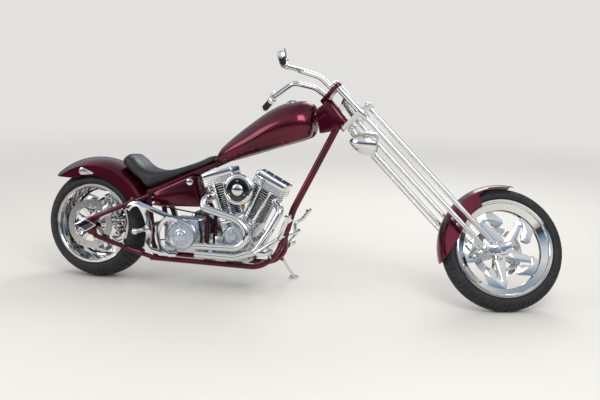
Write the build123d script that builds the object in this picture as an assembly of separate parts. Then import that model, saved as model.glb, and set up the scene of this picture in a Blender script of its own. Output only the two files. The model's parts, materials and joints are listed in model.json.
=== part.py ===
from build123d import *
import os
from math import atan2, cos, degrees, pi, radians, sin, sqrt, tan

os.makedirs("parts", exist_ok=True)

# A long-fork chopper motorcycle, parked on its side stand with the fork on its left stop.
# The pieces are modelled upright and straight ahead: x forwards, y to the rider's left, z up, millimetres.
# The rear axle stands above the origin. The parked lean, pitch and steering angle come last.

# Parked pose
lean_angle = 5.34
steer_angle = 30.0

# Rear wheel
rear_tyre_radius = 330.0
rear_tyre_width = 250.0
rear_crown_radius = 157.0
rear_lip_radius = 241.0
rear_rim_width = 230.0
rear_hub_radius = 46.0
rear_hub_length = 236.0
rear_axle_height = 331.0

# Front wheel
front_tyre_radius = 349.5
front_tyre_width = 124.0
front_crown_radius = 62.0
front_lip_radius = 280.0
front_rim_width = 108.0
front_hub_radius = 38.0
front_hub_length = 130.0

# Rim section and spokes
rim_flange_height = 14.0
rim_flange_thickness = 6.0
rim_wall = 7.0
bead_gap = 0.2
front_well_depth = 34.0
rear_well_depth = 20.0
spoke_count = 5
spoke_thickness = 26.0
front_spoke_turn = -16.0
spoke_outline = (
    # share of the reach, side: a straight arm, a hooked lobe beside it, and the slot between them
    (0.10, -38.0),
    (0.28, -42.0),
    (0.62, -20.0),
    (0.77, -9.0),
    (0.80, -15.0),
    (0.80, -25.0),
    (0.77, -31.0),
    (0.63, -34.0),
    (0.49, -56.0),
    (0.52, -94.0),
    (0.60, -103.0),
    (0.66, -96.0),
    (0.97, -72.0),
    (1.00, 20.0),
    (0.83, 27.0),
    (0.77, 31.0),
    (0.74, 22.0),
    (0.10, 20.0),
)
axle_radius = 10.0
axle_gap = 0.3

# Brake rotors and drive pulley
rotor_radius = 146.0
rotor_bore = 104.0
rotor_thickness = 5.0
rear_rotor_y = -143.0
front_rotor_y = 84.0
pulley_radius = 145.0
pulley_y = 140.5
pulley_width = 20.0
pulley_hole_count = 10
pulley_hole_radius = 14.0
pulley_hole_place = 92.0

# Neck and steering axis
neck_x = 1463.0
neck_z = 1065.0
rake_angle = 40.0
head_tube_length = 160.0
head_tube_radius = 28.0
stem_radius = 12.5
stem_gap = 0.5

# Fork, in the steering frame: forward of the axis, sideways, and up along it
fork_half_width = 145.0
fork_rake_extra = 6.2
front_wheel_forward = 310.3
front_wheel_drop = 1171.0
rear_leg_forward = 103.0
leg_spacing = 56.0
leg_reference_drop = 400.0
leg_radius = 14.0
upper_leg_radius = 21.0
upper_leg_top = 126.0
rocker_rise = 62.0
tree_thickness = 24.0
top_clamp_radius = 23.0
lower_clamp_radius = 28.0
front_clamp_radius = 20.0
tree_gap = 6.0
lower_tree_thickness = 30.0
spring_radius = 19.0
spring_wire = 4.0
spring_turns = 9
spring_y = 55.0

# Handlebars, in the steering frame
bar_radius = 16.0
bar_points = (
    # forward, side, up
    (42.0, 75.0, 104.0),
    (17.0, 92.0, 207.0),
    (-66.0, 104.0, 305.0),
    (-166.0, 250.0, 329.0),
    (-205.0, 440.0, 346.0),
)
bar_bends = (90.0, 60.0, 70.0)
grip_radius = 20.0
grip_length = 128.0

# Headlight, in the steering frame
lamp_forward = 20.0
lamp_drop = 228.0
lamp_radius = 70.0
lamp_length = 150.0
lamp_nose = 8.0

# Frame tubes
rail_radius = 16.0
stay_radius = 14.0
rail_y = 110.0
rail_z = 156.0
stay_y = 176.0
backbone_radius = 22.0
downtube_radius = 20.0
downtube_top = (1485.0, 0.0, 1010.0)
downtube_bend = (1232.0, 0.0, 493.0)
downtube_foot = (1186.0, 0.0, 322.0)
rail_root = (1190.0, 4.0, 352.0)
rail_knee = (1172.0, 80.0, 236.0)
rail_front_x = 1085.0
rail_rear_x = 392.0
seat_post_foot_x = 425.0
mid_post_x = 727.0
mid_post_y = 65.0
backbone_rear = (738.0, 0.0, 728.0)
tank_mount_x = (880.0, 1290.0)
seat_rail_rear = (352.0, 96.0, 545.0)
axle_plate_thickness = 12.0

# Engine
crank_x = 916.0
crank_z = 262.0
rear_cylinder_angle = -19.0
front_cylinder_angle = 26.0
deck_height = 185.0
cylinder_height = 125.0
head_height = 72.0
rocker_height = 78.0
cylinder_radius = 56.0
fin_count = 11
fin_thickness = 3.0
crankcase_half_width = 88.0

# Transmission and primary
gearbox_x = 590.0
gearbox_z = 308.0
gearbox_cover_radius = 88.0
gearbox_cover_y = -150.0
primary_inner_y = 166.0
primary_depth = 52.0
primary_radius = 104.0

# Side stand
stand_pivot = (1130.0, 146.0, 186.0)
stand_reach_x = 14.0
stand_reach_y = 209.0
stand_folded = (-0.93, 0.13, -0.34)
stand_radius = 9.0
foot_thickness = 8.0

# More engine sizes
case_radius = 112.0
cylinder_width = 132.0
cylinder_depth = 130.0
head_width = 182.0
head_fin_count = 5
rocker_length = 204.0
rocker_depth = 144.0
pushrod_radius = 9.0
cleaner_x = 942.0
cleaner_y = 122.0
cleaner_z = 600.0
cleaner_radius = 90.0
exhaust_radius = 22.0

# Fenders, brackets and belt
rear_fender_radius = 402.0
rear_fender_edge = 290.0
rear_fender_half = 140.0
tail_rise = 273.0
front_fender_radius = 372.0
front_fender_half = 80.0
fender_wall = 3.0
bracket_thickness = 12.0
oil_tank_half = 96.0
oil_corner = 22.0
pulley_shaft_x = 604.0
pulley_shaft_z = 340.0
front_pulley_radius = 66.0
belt_thickness = 6.0
spring_forward = 92.0
yoke_level = 14.0
yoke_thickness = 14.0
hose_radius = 3.5
caliper_angle = 135.0
stay_levels = (-872.0, -915.0)

# Forward pegs
peg_x = 1150.0
peg_z = 264.0
peg_radius = 17.0
peg_end = 290.0
peg_free = 70.0
pedal_top = 474.0


def trim(shape, *others):
    """Cuts a piece back to the faces of the pieces that it is joined to."""
    for other in others:
        shape = shape - other
    return shape


def slab(outline, depth, level):
    """A flat plate cut to an outline in x and y, up from a height."""
    return Pos(0, 0, level) * extrude(outline, depth)


def link(circles):
    """An outline that wraps round circles given as (x, y, radius)."""
    edges = [Pos(x, y) * Edge.make_circle(r) for x, y, r in circles]
    return make_hull(edges)


def side_link(circles, y_low, y_high):
    """A plate across the bike that wraps round circles given as (x, z, radius)."""
    plane = Plane(origin=(0, y_high, 0), x_dir=(1, 0, 0), z_dir=(0, -1, 0))
    return extrude(plane * link(circles), y_high - y_low)


def fender_shell(crown_r, edge_r, half, thickness, round_r, start, sweep_arc):
    """A mudguard shell about the y axis, with a round crown and flat skirts, from a start angle above x."""
    wall = half - thickness
    inner_r = round_r - thickness * 0.6
    lines = [
        Line((edge_r, half), (round_r, half)),
        ThreePointArc((round_r, half), (crown_r, 0), (round_r, -half)),
        Line((round_r, -half), (edge_r, -half)),
        Line((edge_r, -half), (edge_r, -wall)),
        Line((edge_r, -wall), (inner_r, -wall)),
        ThreePointArc((inner_r, -wall), (crown_r - thickness, 0), (inner_r, wall)),
        Line((inner_r, wall), (edge_r, wall)),
        Line((edge_r, wall), (edge_r, half)),
    ]
    shell = revolve(make_face(lines), Axis.Y, sweep_arc)
    return Rot(0, -start - sweep_arc, 0) * shell


def rod(start, end, radius):
    """A round bar from one point to another."""
    line = Vector(*end) - Vector(*start)
    return Solid.make_cylinder(radius, line.length, Plane(origin=Vector(*start), z_dir=line))


def cone(start, end, radius_start, radius_end):
    """A round taper from one point to another."""
    line = Vector(*end) - Vector(*start)
    return Solid.make_cone(radius_start, radius_end, line.length, Plane(origin=Vector(*start), z_dir=line))


def pipe(points, radii, radius):
    """A bent round bar: straight runs joined by tangent arcs."""
    path = FilletPolyline(*points, radius=radii)
    section = Plane(origin=path @ 0, z_dir=path % 0) * Circle(radius)
    return sweep(section, path=path)


def side_plate(outline, y_low, y_high):
    """A plate cut to an outline in x and z, between two planes across the bike."""
    face = make_face(Polyline(*[(x, z) for x, z in outline], close=True))
    plane = Plane(origin=(0, y_high, 0), x_dir=(1, 0, 0), z_dir=(0, -1, 0))
    return extrude(plane * face, y_high - y_low)


def disc(x, y_low, y_high, z, radius, bore=0.0):
    """A round across the bike, with an optional bore."""
    shape = rod((x, y_low, z), (x, y_high, z), radius)
    if bore:
        shape -= rod((x, y_low - 1, z), (x, y_high + 1, z), bore)
    return shape


def mirrored(shape):
    return shape.mirror(Plane.XZ)


def both(shape):
    return Compound(children=[shape, mirrored(shape)])


# Wheels, made about the y axis at the origin
def revolve_section(points):
    """A ring about the y axis from a closed section of (radius, y) points."""
    face = make_face(Polyline(*[(r, y, 0) for r, y in points], close=True))
    return revolve(face, Axis.Y)


def rim(lip_radius, width, hub_radius, hub_length, well_depth):
    half = width / 2
    flange = half - rim_flange_thickness
    seat = lip_radius - rim_flange_height
    well = seat - well_depth
    outer = [(lip_radius, half), (lip_radius, flange), (seat, flange), (seat, flange * 0.55), (well, flange * 0.4)]
    inner = [(r - rim_wall, y) for r, y in outer[2:]]
    inner[0] = (seat - rim_wall, half)
    upper = outer + [(r, -y) for r, y in reversed(outer)]
    lower = [(r, -y) for r, y in inner] + list(reversed(inner))
    ring = revolve_section(upper + lower)
    hub = rod((0, -hub_length / 2, 0), (0, hub_length / 2, 0), hub_radius)
    reach = well - rim_wall / 2
    outline = [(share * reach, side) for share, side in spoke_outline]
    blade = side_plate(outline, -spoke_thickness / 2, spoke_thickness / 2)
    wheel = ring + hub
    for turn in range(spoke_count):
        wheel += Rot(0, turn * 360 / spoke_count, 0) * blade
    return wheel - rod((0, -hub_length, 0), (0, hub_length, 0), axle_radius + axle_gap)


def tyre(radius, width, crown, lip_radius, rim_width):
    half = width / 2
    flange = rim_width / 2 - rim_flange_thickness - bead_gap
    bead = lip_radius - rim_flange_height + bead_gap
    shoulder_y = half - 8
    shoulder_r = radius - crown + sqrt(crown**2 - shoulder_y**2)
    bulge_r = (lip_radius + shoulder_r) / 2
    lines = [
        Line((bead, -flange), (bead, flange)),
        Line((bead, flange), (lip_radius + 2, flange)),
        ThreePointArc((lip_radius + 2, flange), (bulge_r, half), (shoulder_r, shoulder_y)),
        ThreePointArc((shoulder_r, shoulder_y), (radius, 0), (shoulder_r, -shoulder_y)),
        ThreePointArc((shoulder_r, -shoulder_y), (bulge_r, -half), (lip_radius + 2, -flange)),
        Line((lip_radius + 2, -flange), (bead, -flange)),
    ]
    return revolve(make_face(lines), Axis.Y)


def rotor(y, side):
    """A drilled brake ring on five arms, with a boss that seats on the hub towards the given side."""
    low = y - rotor_thickness / 2
    high = y + rotor_thickness / 2
    ring = disc(0, low, high, 0, rotor_radius, rotor_bore)
    hole = disc(rotor_radius - 18, low - 1, high + 1, 0, 5)
    arm = side_plate([(30, -9), (rotor_bore + 3, -9), (rotor_bore + 3, 9), (30, 9)], low, high)
    for turn in range(5):
        ring += Rot(0, turn * 72, 0) * arm
    for turn in range(12):
        ring -= Rot(0, turn * 30, 0) * hole
    return ring + disc(0, min(side, low), max(side, high), 0, 50, axle_radius + 2)


# Frames: the steering frame has x forwards, y left and z up along the steering axis
rake = radians(rake_angle)
axis_up = Vector(-sin(rake), 0, cos(rake))
axis_forward = Vector(cos(rake), 0, sin(rake))
fork_frame = Location(Plane(origin=(neck_x, 0, neck_z), x_dir=axis_forward, z_dir=axis_up))
rear_centre = (0.0, 0.0, rear_axle_height)
front_centre = fork_frame * Pos(front_wheel_forward, 0, -front_wheel_drop)
leg_slope = tan(radians(fork_rake_extra))


def leg_x(up, spacing=0.0):
    """Forward place of a fork leg at a height along the steering axis."""
    return rear_leg_forward + spacing + (-leg_reference_drop - up) * leg_slope


# Parked pose: leaned over, then pitched until both tyres touch the ground
def tyre_low(place, centre, axle, radius, crown):
    """Lowest point of a tilted tyre with a round crown."""
    middle = (place * Pos(*centre)).position
    tilt = ((place * Pos(*(Vector(*centre) + axle))).position - middle).Z
    return middle.Z - (radius - crown) * sqrt(1 - tilt**2) - crown


steered_frame = fork_frame * Rot(0, 0, steer_angle)
steered_centre = (steered_frame * Pos(front_wheel_forward, 0, -front_wheel_drop)).position
steered_tip = (steered_frame * Pos(front_wheel_forward, 1, -front_wheel_drop)).position
steered_axle = steered_tip - steered_centre
wheelbase = steered_centre.X
pitch = 0.0
for _ in range(4):
    tilted = Rot(0, pitch, 0) * Rot(-lean_angle, 0, 0)
    front_low = tyre_low(tilted, steered_centre, steered_axle, front_tyre_radius, front_crown_radius)
    rear_low = tyre_low(tilted, rear_centre, Vector(0, 1, 0), rear_tyre_radius, rear_crown_radius)
    pitch += degrees(atan2(front_low - rear_low, wheelbase))
tilted = Rot(0, pitch, 0) * Rot(-lean_angle, 0, 0)
rear_low = tyre_low(tilted, rear_centre, Vector(0, 1, 0), rear_tyre_radius, rear_crown_radius)
parked = Pos(0, 0, -rear_low) * tilted

nodes = {}

# Rear wheel
at_rear = Pos(*rear_centre)
nodes["rear_rim"] = at_rear * rim(
    rear_lip_radius, rear_rim_width, rear_hub_radius, rear_hub_length, rear_well_depth
)
nodes["rear_tyre"] = at_rear * tyre(
    rear_tyre_radius, rear_tyre_width, rear_crown_radius, rear_lip_radius, rear_rim_width
)
pulley = disc(0, pulley_y - pulley_width / 2, pulley_y + pulley_width / 2, 0, pulley_radius, 40)
pulley_hub = disc(0, rear_hub_length / 2 + bead_gap, pulley_y + pulley_width / 2, 0, 52, axle_radius + 2)
nodes["rear_rotor"] = at_rear * rotor(rear_rotor_y, -rear_hub_length / 2 - bead_gap)
pulley_hole = disc(pulley_hole_place, pulley_y - pulley_width, pulley_y + pulley_width, 0, pulley_hole_radius)
for turn in range(pulley_hole_count):
    pulley -= Rot(0, turn * 360 / pulley_hole_count, 0) * pulley_hole
nodes["rear_pulley"] = at_rear * (pulley + pulley_hub)

# Front wheel
at_front = fork_frame * Pos(front_wheel_forward, 0, -front_wheel_drop)
front_spokes = rim(front_lip_radius, front_rim_width, front_hub_radius, front_hub_length, front_well_depth)
nodes["front_rim"] = at_front * Rot(0, front_spoke_turn, 0) * front_spokes
nodes["front_tyre"] = at_front * tyre(
    front_tyre_radius, front_tyre_width, front_crown_radius, front_lip_radius, front_rim_width
)
nodes["front_rotor"] = at_front * rotor(front_rotor_y, front_hub_length / 2 + bead_gap)


# Rear axle, plates and covers
def from_axle(outline):
    """An outline in x and z from points given as (x, rise above the axle)."""
    return [(x, rear_axle_height + rise) for x, rise in outline]


plate_outline = from_axle(
    [(-62, -13), (-20, 21), (10, 47), (60, 61), (66, 35), (48, 0), (62, -45), (56, -69), (10, -55)]
)
plate_inner = stay_y - axle_plate_thickness / 2
plate_outer = stay_y + axle_plate_thickness / 2
axle_plate = side_plate(plate_outline, plate_inner, plate_outer)
axle_plate -= disc(0, plate_inner - 1, plate_outer + 1, rear_axle_height, axle_radius)

axle_end = plate_outer + 4
diamond_outline = from_axle([(-84, -5), (-10, 35), (62, 0), (-8, -44)])
diamond = side_plate(diamond_outline, plate_outer + 0.1, plate_outer + 10)
axle_body = disc(0, -axle_end, axle_end, rear_axle_height, axle_radius)
nodes["rear_axle"] = axle_body + diamond + mirrored(diamond)


# Frame
head_tube = fork_frame * Pos(0, 0, -head_tube_length / 2) * Solid.make_cylinder(head_tube_radius, head_tube_length)
stem_bore = fork_frame * Pos(0, 0, -head_tube_length) * Solid.make_cylinder(
    stem_radius + stem_gap, 2 * head_tube_length
)
gusset_outline = [(1346, 1078), (1406, 1120), (1515, 1006), (1462, 966), (1378, 944)]
window_outline = [(1372, 1020), (1408, 1050), (1458, 1010), (1440, 986), (1378, 968)]
gusset = side_plate(gusset_outline, 22, 28) - side_plate(window_outline, 20, 30)
nodes["frame_neck"] = trim(head_tube + gusset + mirrored(gusset), stem_bore)
backbone = rod(backbone_rear, (1442, 0, 1069), backbone_radius)
seat_rail = rod((752, 12, 734), seat_rail_rear, rail_radius)
tunnel_half = backbone_radius + 3
backbone_slope = (1069 - backbone_rear[2]) / (1442 - backbone_rear[0])


def backbone_mid(x):
    return backbone_rear[2] + (x - backbone_rear[0]) * backbone_slope


spine = backbone + seat_rail + mirrored(seat_rail)
for x in tank_mount_x:
    spine += rod((x, -tunnel_half, backbone_mid(x)), (x, tunnel_half, backbone_mid(x)), 9)
nodes["frame_backbone"] = trim(spine, nodes["frame_neck"], stem_bore)
downtube = pipe([downtube_top, downtube_bend, downtube_foot], 320, downtube_radius)
nodes["frame_downtubes"] = trim(downtube, nodes["frame_neck"], stem_bore)
rail_points = [rail_root, rail_knee, (rail_front_x, rail_y, rail_z), (rail_rear_x, rail_y, rail_z)]
lower_rail = pipe(rail_points, [120, 150], rail_radius)
seat_post = rod(seat_rail_rear, (seat_post_foot_x, rail_y, rail_z), rail_radius)
post_brace = rod((388, -103, 350), (388, 103, 350), stay_radius)
nodes["frame_seat_posts"] = trim(seat_post + mirrored(seat_post) + post_brace, nodes["frame_backbone"])
mid_post = pipe([(mid_post_x, mid_post_y, rail_z), (mid_post_x, mid_post_y, 420), (690, mid_post_y, 500)], 40, 13)
mid_cross = rod((mid_post_x, -rail_y, rail_z), (mid_post_x, rail_y, rail_z), stay_radius)
rear_cross = rod((470, -rail_y, rail_z), (470, rail_y, rail_z), stay_radius)
front_cross = rod((1040, -rail_y, rail_z), (1040, rail_y, rail_z), stay_radius)

# Side stand, worked out on the ground and brought back into the upright frame
pivot = Vector(*stand_pivot)
pivot_parked = (parked * Pos(*stand_pivot)).position
foot_parked = Pos(pivot_parked.X + stand_reach_x, pivot_parked.Y + stand_reach_y, 0)
upright = parked.inverse()
foot_centre = (upright * foot_parked * Pos(0, 0, foot_thickness)).position
leg_line = (foot_centre - pivot).normalized()
folded_line = Vector(*stand_folded).normalized()
stand_axis = leg_line.cross(folded_line).normalized()


def along_stand(distance):
    return tuple(pivot + stand_axis * distance)


stand_eye = rod(along_stand(-8), along_stand(8), 14) - rod(along_stand(-9), along_stand(9), 6.4)
stand_leg = rod(tuple(pivot + leg_line * 12), tuple(foot_centre), stand_radius)
foot = upright * foot_parked * Pos(0, 0, foot_thickness / 2) * Cylinder(30, foot_thickness)
nodes["side_stand"] = stand_eye + stand_leg + foot
stand_boss = rod(along_stand(8.3), along_stand(30), 11.5)
stand_pin = rod(along_stand(-15), along_stand(20), 6)
stand_nut = rod(along_stand(-15), along_stand(-8.3), 11)
stand_root = (stand_pivot[0] - 2, rail_y - 15, stand_pivot[2] + 25)
stand_arm = rod(stand_root, along_stand(28), 7)
stand_mount = trim(stand_boss + stand_arm, lower_rail) + stand_pin + stand_nut
lower_frame = lower_rail + mirrored(lower_rail) + rear_cross + front_cross + stand_mount
lower_frame = lower_frame + mid_cross + mid_post + mirrored(mid_post)
nodes["frame_lower_rails"] = trim(lower_frame, nodes["frame_seat_posts"], nodes["frame_downtubes"])
upper_stay_end = (50, stay_y, rear_axle_height + 50)
lower_stay_end = (48, stay_y, rear_axle_height - 62)
upper_stay = pipe([upper_stay_end, (300, 170, 493), (368, 100, 530)], 60, stay_radius)
lower_stay = pipe([lower_stay_end, (262, 172, rail_z + 54), (392, rail_y + 2, rail_z + 6)], 80, stay_radius)
stay = upper_stay + lower_stay + axle_plate
nodes["rear_stays"] = trim(
    both(stay), nodes["frame_seat_posts"], nodes["frame_backbone"], nodes["frame_lower_rails"]
)

# Fuel tank: sections along the bike, with a tunnel for the backbone
tank_sections = (
    # x, bottom, crease, ridge, half width at bottom, at bulge, at crease
    (765.0, 740.0, 788.0, 806.0, 36.0, 50.0, 36.0),
    (800.0, 742.0, 828.0, 848.0, 45.0, 72.0, 52.0),
    (950.0, 790.0, 925.0, 974.0, 62.0, 105.0, 80.0),
    (1120.0, 848.0, 1032.0, 1090.0, 75.0, 128.0, 100.0),
    (1260.0, 893.0, 1068.0, 1124.0, 75.0, 130.0, 105.0),
    (1340.0, 925.0, 1048.0, 1108.0, 60.0, 95.0, 75.0),
)


def tank_section(x, bottom, crease, ridge, half_bottom, half_bulge, half_crease):
    """A closed section: flat bottom, bulged sides up to the crease, and a crowned top."""
    middle = bottom + 0.55 * (crease - bottom)
    plane = Plane(origin=(x, 0, 0), x_dir=(0, 1, 0), z_dir=(1, 0, 0))
    lines = [
        Line((-half_bottom, bottom), (half_bottom, bottom)),
        ThreePointArc((half_bottom, bottom), (half_bulge, middle), (half_crease, crease)),
        ThreePointArc((half_crease, crease), (0, ridge), (-half_crease, crease)),
        ThreePointArc((-half_crease, crease), (-half_bulge, middle), (-half_bottom, bottom)),
    ]
    return plane * make_face(lines)


def backbone_top(x):
    return backbone_mid(x) + backbone_radius * 1.11


tunnel_outline = [(700, 500), (700, backbone_top(700) + 3), (1440, backbone_top(1440) + 3), (1440, 500)]
tunnel = side_plate(tunnel_outline, -tunnel_half, tunnel_half)
tank_body = loft([tank_section(*row) for row in tank_sections])
nodes["fuel_tank"] = tank_body - tunnel
cap_place = Pos(1197, 0, 1102) * Rot(0, -14, 0)
nodes["tank_cap"] = trim(cap_place * Cylinder(26, 44), nodes["fuel_tank"])

# Seat: a low pan with a hump behind and a nose that runs up to the tank
rail_slope = (734 - seat_rail_rear[2]) / (752 - seat_rail_rear[0])


def rail_top(x):
    return seat_rail_rear[2] + (x - seat_rail_rear[0]) * rail_slope + rail_radius * 1.12


seat_sections = (
    # x, bottom, top, width
    (184.0, rear_axle_height + 369, rear_axle_height + 411, 190.0),
    (216.0, rear_axle_height + 341, rear_axle_height + 435, 232.0),
    (250.0, rear_axle_height + 314, rear_axle_height + 410, 246.0),
    (300.0, rear_axle_height + 281, rear_axle_height + 365, 256.0),
    (352.0, rail_top(352) + 3, 677.0, 264.0),
    (410.0, rail_top(410) + 3, 671.0, 258.0),
    (490.0, rail_top(490) + 3, 682.0, 214.0),
    (570.0, rail_top(570) + 3, 708.0, 146.0),
    (660.0, rail_top(660) + 3, 744.0, 104.0),
    (736.0, rail_top(736) + 8, 786.0, 82.0),
)


def seat_section(x, bottom, top, width):
    plane = Plane(origin=(x, 0, (bottom + top) / 2), x_dir=(0, 1, 0), z_dir=(1, 0, 0))
    return plane * RectangleRounded(width, top - bottom, (top - bottom) * 0.3)


seat_body = loft([seat_section(*row) for row in seat_sections], ruled=True)
fender_round = disc(0, -200, 200, rear_axle_height, rear_fender_radius + 1)
nodes["seat"] = trim(seat_body, fender_round, nodes["frame_backbone"])

# Rear fender with side lamps
rear_fender = at_rear * fender_shell(
    rear_fender_radius, rear_fender_edge, rear_fender_half, fender_wall, 352.0, 31.0, 104.0
)
strut_inner = (270, rear_fender_half - 1.5, rear_axle_height + 174)
fender_strut = rod(strut_inner, (277, 166, rear_axle_height + 157), 7)
tail_outline = from_axle(
    [(-430, 329), (-270, 329), (-246, tail_rise), (-90, tail_rise - 6), (-90, 149), (-430, 149)]
)
tail_cut = side_plate(tail_outline, -200, 200)
fender_parts = trim(rear_fender, tail_cut) + fender_strut + mirrored(fender_strut)
nodes["rear_fender"] = trim(fender_parts, nodes["rear_stays"])
lamp_circles = [(-62, rear_axle_height + 315, 22), (6, rear_axle_height + 307, 6)]
lamp_face = side_link(lamp_circles, rear_fender_half + 0.2, rear_fender_half + 16)
nodes["side_lamps"] = both(lamp_face)

# Oil tank under the seat rails
oil_outline = [(396, 464), (698, 478), (652, 598), (640, rail_top(640) - 34), (380, rail_top(380) - 34)]
oil_body = side_plate(oil_outline, -oil_tank_half, oil_tank_half)
oil_body = fillet(oil_body.edges().filter_by(Axis.Y), oil_corner)
oil_cap = rod((622, -oil_tank_half, 622), (622, -oil_tank_half - 14, 622), 20)
nodes["oil_tank"] = trim(oil_body + oil_cap, nodes["frame_backbone"], nodes["frame_lower_rails"])

# Engine: crankcase block, cam cover, finned cylinders with heads, rocker boxes and pushrod tubes
at_crank = Pos(crank_x, 0, crank_z)
cylinder_frames = [at_crank * Rot(0, angle, 0) for angle in (rear_cylinder_angle, front_cylinder_angle)]
case = disc(crank_x, -crankcase_half_width, crankcase_half_width, crank_z, case_radius)
case += disc(crank_x, -96, -crankcase_half_width, crank_z + 30, 92)
for frame in cylinder_frames:
    case += frame * Pos(0, 0, deck_height / 2) * Box(cylinder_width - 8, 130, deck_height)
case += Pos(822, -100, 250) * Box(50, 24, 130)
cam_place = (crank_x - 4, crank_z + 62)
cam_face = cone((cam_place[0], -96.2, cam_place[1]), (cam_place[0], -116, cam_place[1]), 58, 48)
cam_face += disc(cam_place[0], -124, -116, cam_place[1], 34)
nodes["crankcase"] = Compound(children=[case, cam_face])


def finned_cylinder():
    """A barrel with fins and a finned head, standing on the deck."""
    core = Pos(0, 0, deck_height) * Solid.make_cylinder(cylinder_radius, cylinder_height)
    pitch_step = cylinder_height / fin_count
    for index in range(fin_count):
        level = deck_height + pitch_step * (index + 0.5) - fin_thickness / 2
        core += slab(RectangleRounded(cylinder_width, cylinder_depth, 30), fin_thickness, level)
    head_low = deck_height + cylinder_height
    core += slab(RectangleRounded(head_width - 30, cylinder_depth - 16, 14), head_height, head_low)
    head_step = head_height / head_fin_count
    for index in range(head_fin_count):
        level = head_low + head_step * (index + 0.5) - fin_thickness / 2
        core += slab(RectangleRounded(head_width, cylinder_depth, 16), fin_thickness, level)
    return core


rocker_low = deck_height + cylinder_height + head_height


def rocker_box():
    base = slab(RectangleRounded(rocker_length, rocker_depth, 12), rocker_height * 0.5, rocker_low)
    cover = slab(RectangleRounded(rocker_length - 10, rocker_depth - 10, 10), rocker_height * 0.5, rocker_low)
    cover = Pos(0, 0, rocker_height * 0.5) * cover
    return base + cover


def pushrods():
    tubes = [
        rod((x, -84, 112 + abs(x) * 0.2), (x * 1.6, -76, rocker_low), pushrod_radius) for x in (-22, 22)
    ]
    return tubes[0] + tubes[1]


barrels = [frame * finned_cylinder() for frame in cylinder_frames]
nodes["cylinders"] = Compound(children=barrels)
rocker_boxes = [frame * (rocker_box() + pushrods()) for frame in cylinder_frames]
nodes["rocker_boxes"] = trim(Compound(children=rocker_boxes), nodes["crankcase"], nodes["cylinders"])

# Carburettor and round air cleaner
cleaner = fillet(disc(cleaner_x, -cleaner_y - 36, -cleaner_y, cleaner_z, cleaner_radius).edges(), 12)
cleaner += disc(cleaner_x, -cleaner_y - 42, -cleaner_y - 30, cleaner_z, cleaner_radius - 24)
cleaner += disc(cleaner_x, -cleaner_y - 52, -cleaner_y - 42, cleaner_z, 34)
throat = rod((cleaner_x, -cleaner_y, cleaner_z), (cleaner_x - 6, -14, cleaner_z - 6), 25)
manifold_z = cleaner_z - 40
manifold = rod((cleaner_x - 80, -14, manifold_z), (cleaner_x + 64, -14, manifold_z), 20)
nodes["air_cleaner"] = trim(cleaner + throat + manifold, nodes["cylinders"], nodes["rocker_boxes"])

# Exhaust: each pipe leaves its head on the right, runs down and turns back along the lower rail
rear_pipe_points = [
    (752, -60, 548),
    (734, -138, 532),
    (728, -158, 482),
    (946, -158, 430),
    (1042, -160, 345),
    (956, -162, 262),
    (690, -162, 254),
]
front_pipe_points = [
    (1140, -60, 540),
    (1194, -112, 496),
    (1136, -140, 370),
    (1058, -142, 246),
    (940, -160, 208),
    (700, -166, 208),
]
rear_pipe = pipe(rear_pipe_points, [40, 32, 120, 70, 84], exhaust_radius)
front_pipe = pipe(front_pipe_points, [40, 80, 70, 80], exhaust_radius)
bore_rear = rod((689, -162, 254), (730, -162, 255), exhaust_radius - 2)
bore_front = rod((699, -166, 208), (740, -166, 207), exhaust_radius - 2)
pipes = Compound(children=[rear_pipe - bore_rear, front_pipe - bore_front])
nodes["exhaust_pipes"] = trim(pipes, nodes["cylinders"], nodes["rocker_boxes"], nodes["crankcase"])

# Gearbox with its round cover, primary case and final belt
gearbox_outline = [(486, 208), (694, 208), (704, 300), (690, 404), (500, 404), (474, 330)]
gearbox = side_plate(gearbox_outline, -118, 62)
cover = disc(gearbox_x, gearbox_cover_y, -118, gearbox_z, gearbox_cover_radius)
cover += disc(gearbox_x, gearbox_cover_y - 10, gearbox_cover_y, gearbox_z, 26)
output_shaft = disc(pulley_shaft_x, 62, primary_inner_y, pulley_shaft_z, 30)
nodes["gearbox"] = gearbox + cover + output_shaft
primary = side_link(
    [(crank_x, crank_z, primary_radius), (pulley_shaft_x, pulley_shaft_z, primary_radius - 8)],
    primary_inner_y,
    primary_inner_y + primary_depth,
)
primary += side_link(
    [(crank_x, crank_z, primary_radius - 14), (pulley_shaft_x, pulley_shaft_z, primary_radius - 22)],
    primary_inner_y + primary_depth,
    primary_inner_y + primary_depth + 8,
)
primary_face = primary_inner_y + primary_depth + 8
primary += disc(pulley_shaft_x, primary_face, primary_face + 6, pulley_shaft_z, 58)
crank_housing = disc(crank_x, crankcase_half_width, primary_inner_y, crank_z, 58)
nodes["primary_case"] = primary + crank_housing
belt_low = pulley_y - pulley_width / 2 + 1
belt_high = pulley_y + pulley_width / 2 - 1
belt_inner = [
    (0, rear_axle_height, pulley_radius + 1),
    (pulley_shaft_x, pulley_shaft_z, front_pulley_radius + 0.4),
]
belt_outer = [(x, z, r + belt_thickness) for x, z, r in belt_inner]
belt = side_link(belt_outer, belt_low, belt_high) - side_link(belt_inner, belt_low - 1, belt_high + 1)
front_pulley = disc(pulley_shaft_x, belt_low - 2, belt_high + 2, pulley_shaft_z, front_pulley_radius, 30.2)
nodes["drive_belt"] = Compound(children=[belt, front_pulley])

# Rear brake caliper on its arm
caliper_x = 116.0
caliper_z = rear_axle_height + 88
caliper = disc(caliper_x, rear_rotor_y - 16, rear_rotor_y + 13, caliper_z, 34)
arm_circles = [(caliper_x, caliper_z, 22), (0, rear_axle_height, 24)]
arm = side_link(arm_circles, rear_rotor_y - 16, rear_rotor_y - 9)
gap_cut = disc(0, rear_rotor_y - 7.5, rear_rotor_y + 7.5, rear_axle_height, rotor_radius + 5)
nodes["rear_caliper"] = trim(caliper + arm, gap_cut, disc(0, -200, 200, rear_axle_height, axle_radius + 0.2))

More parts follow.
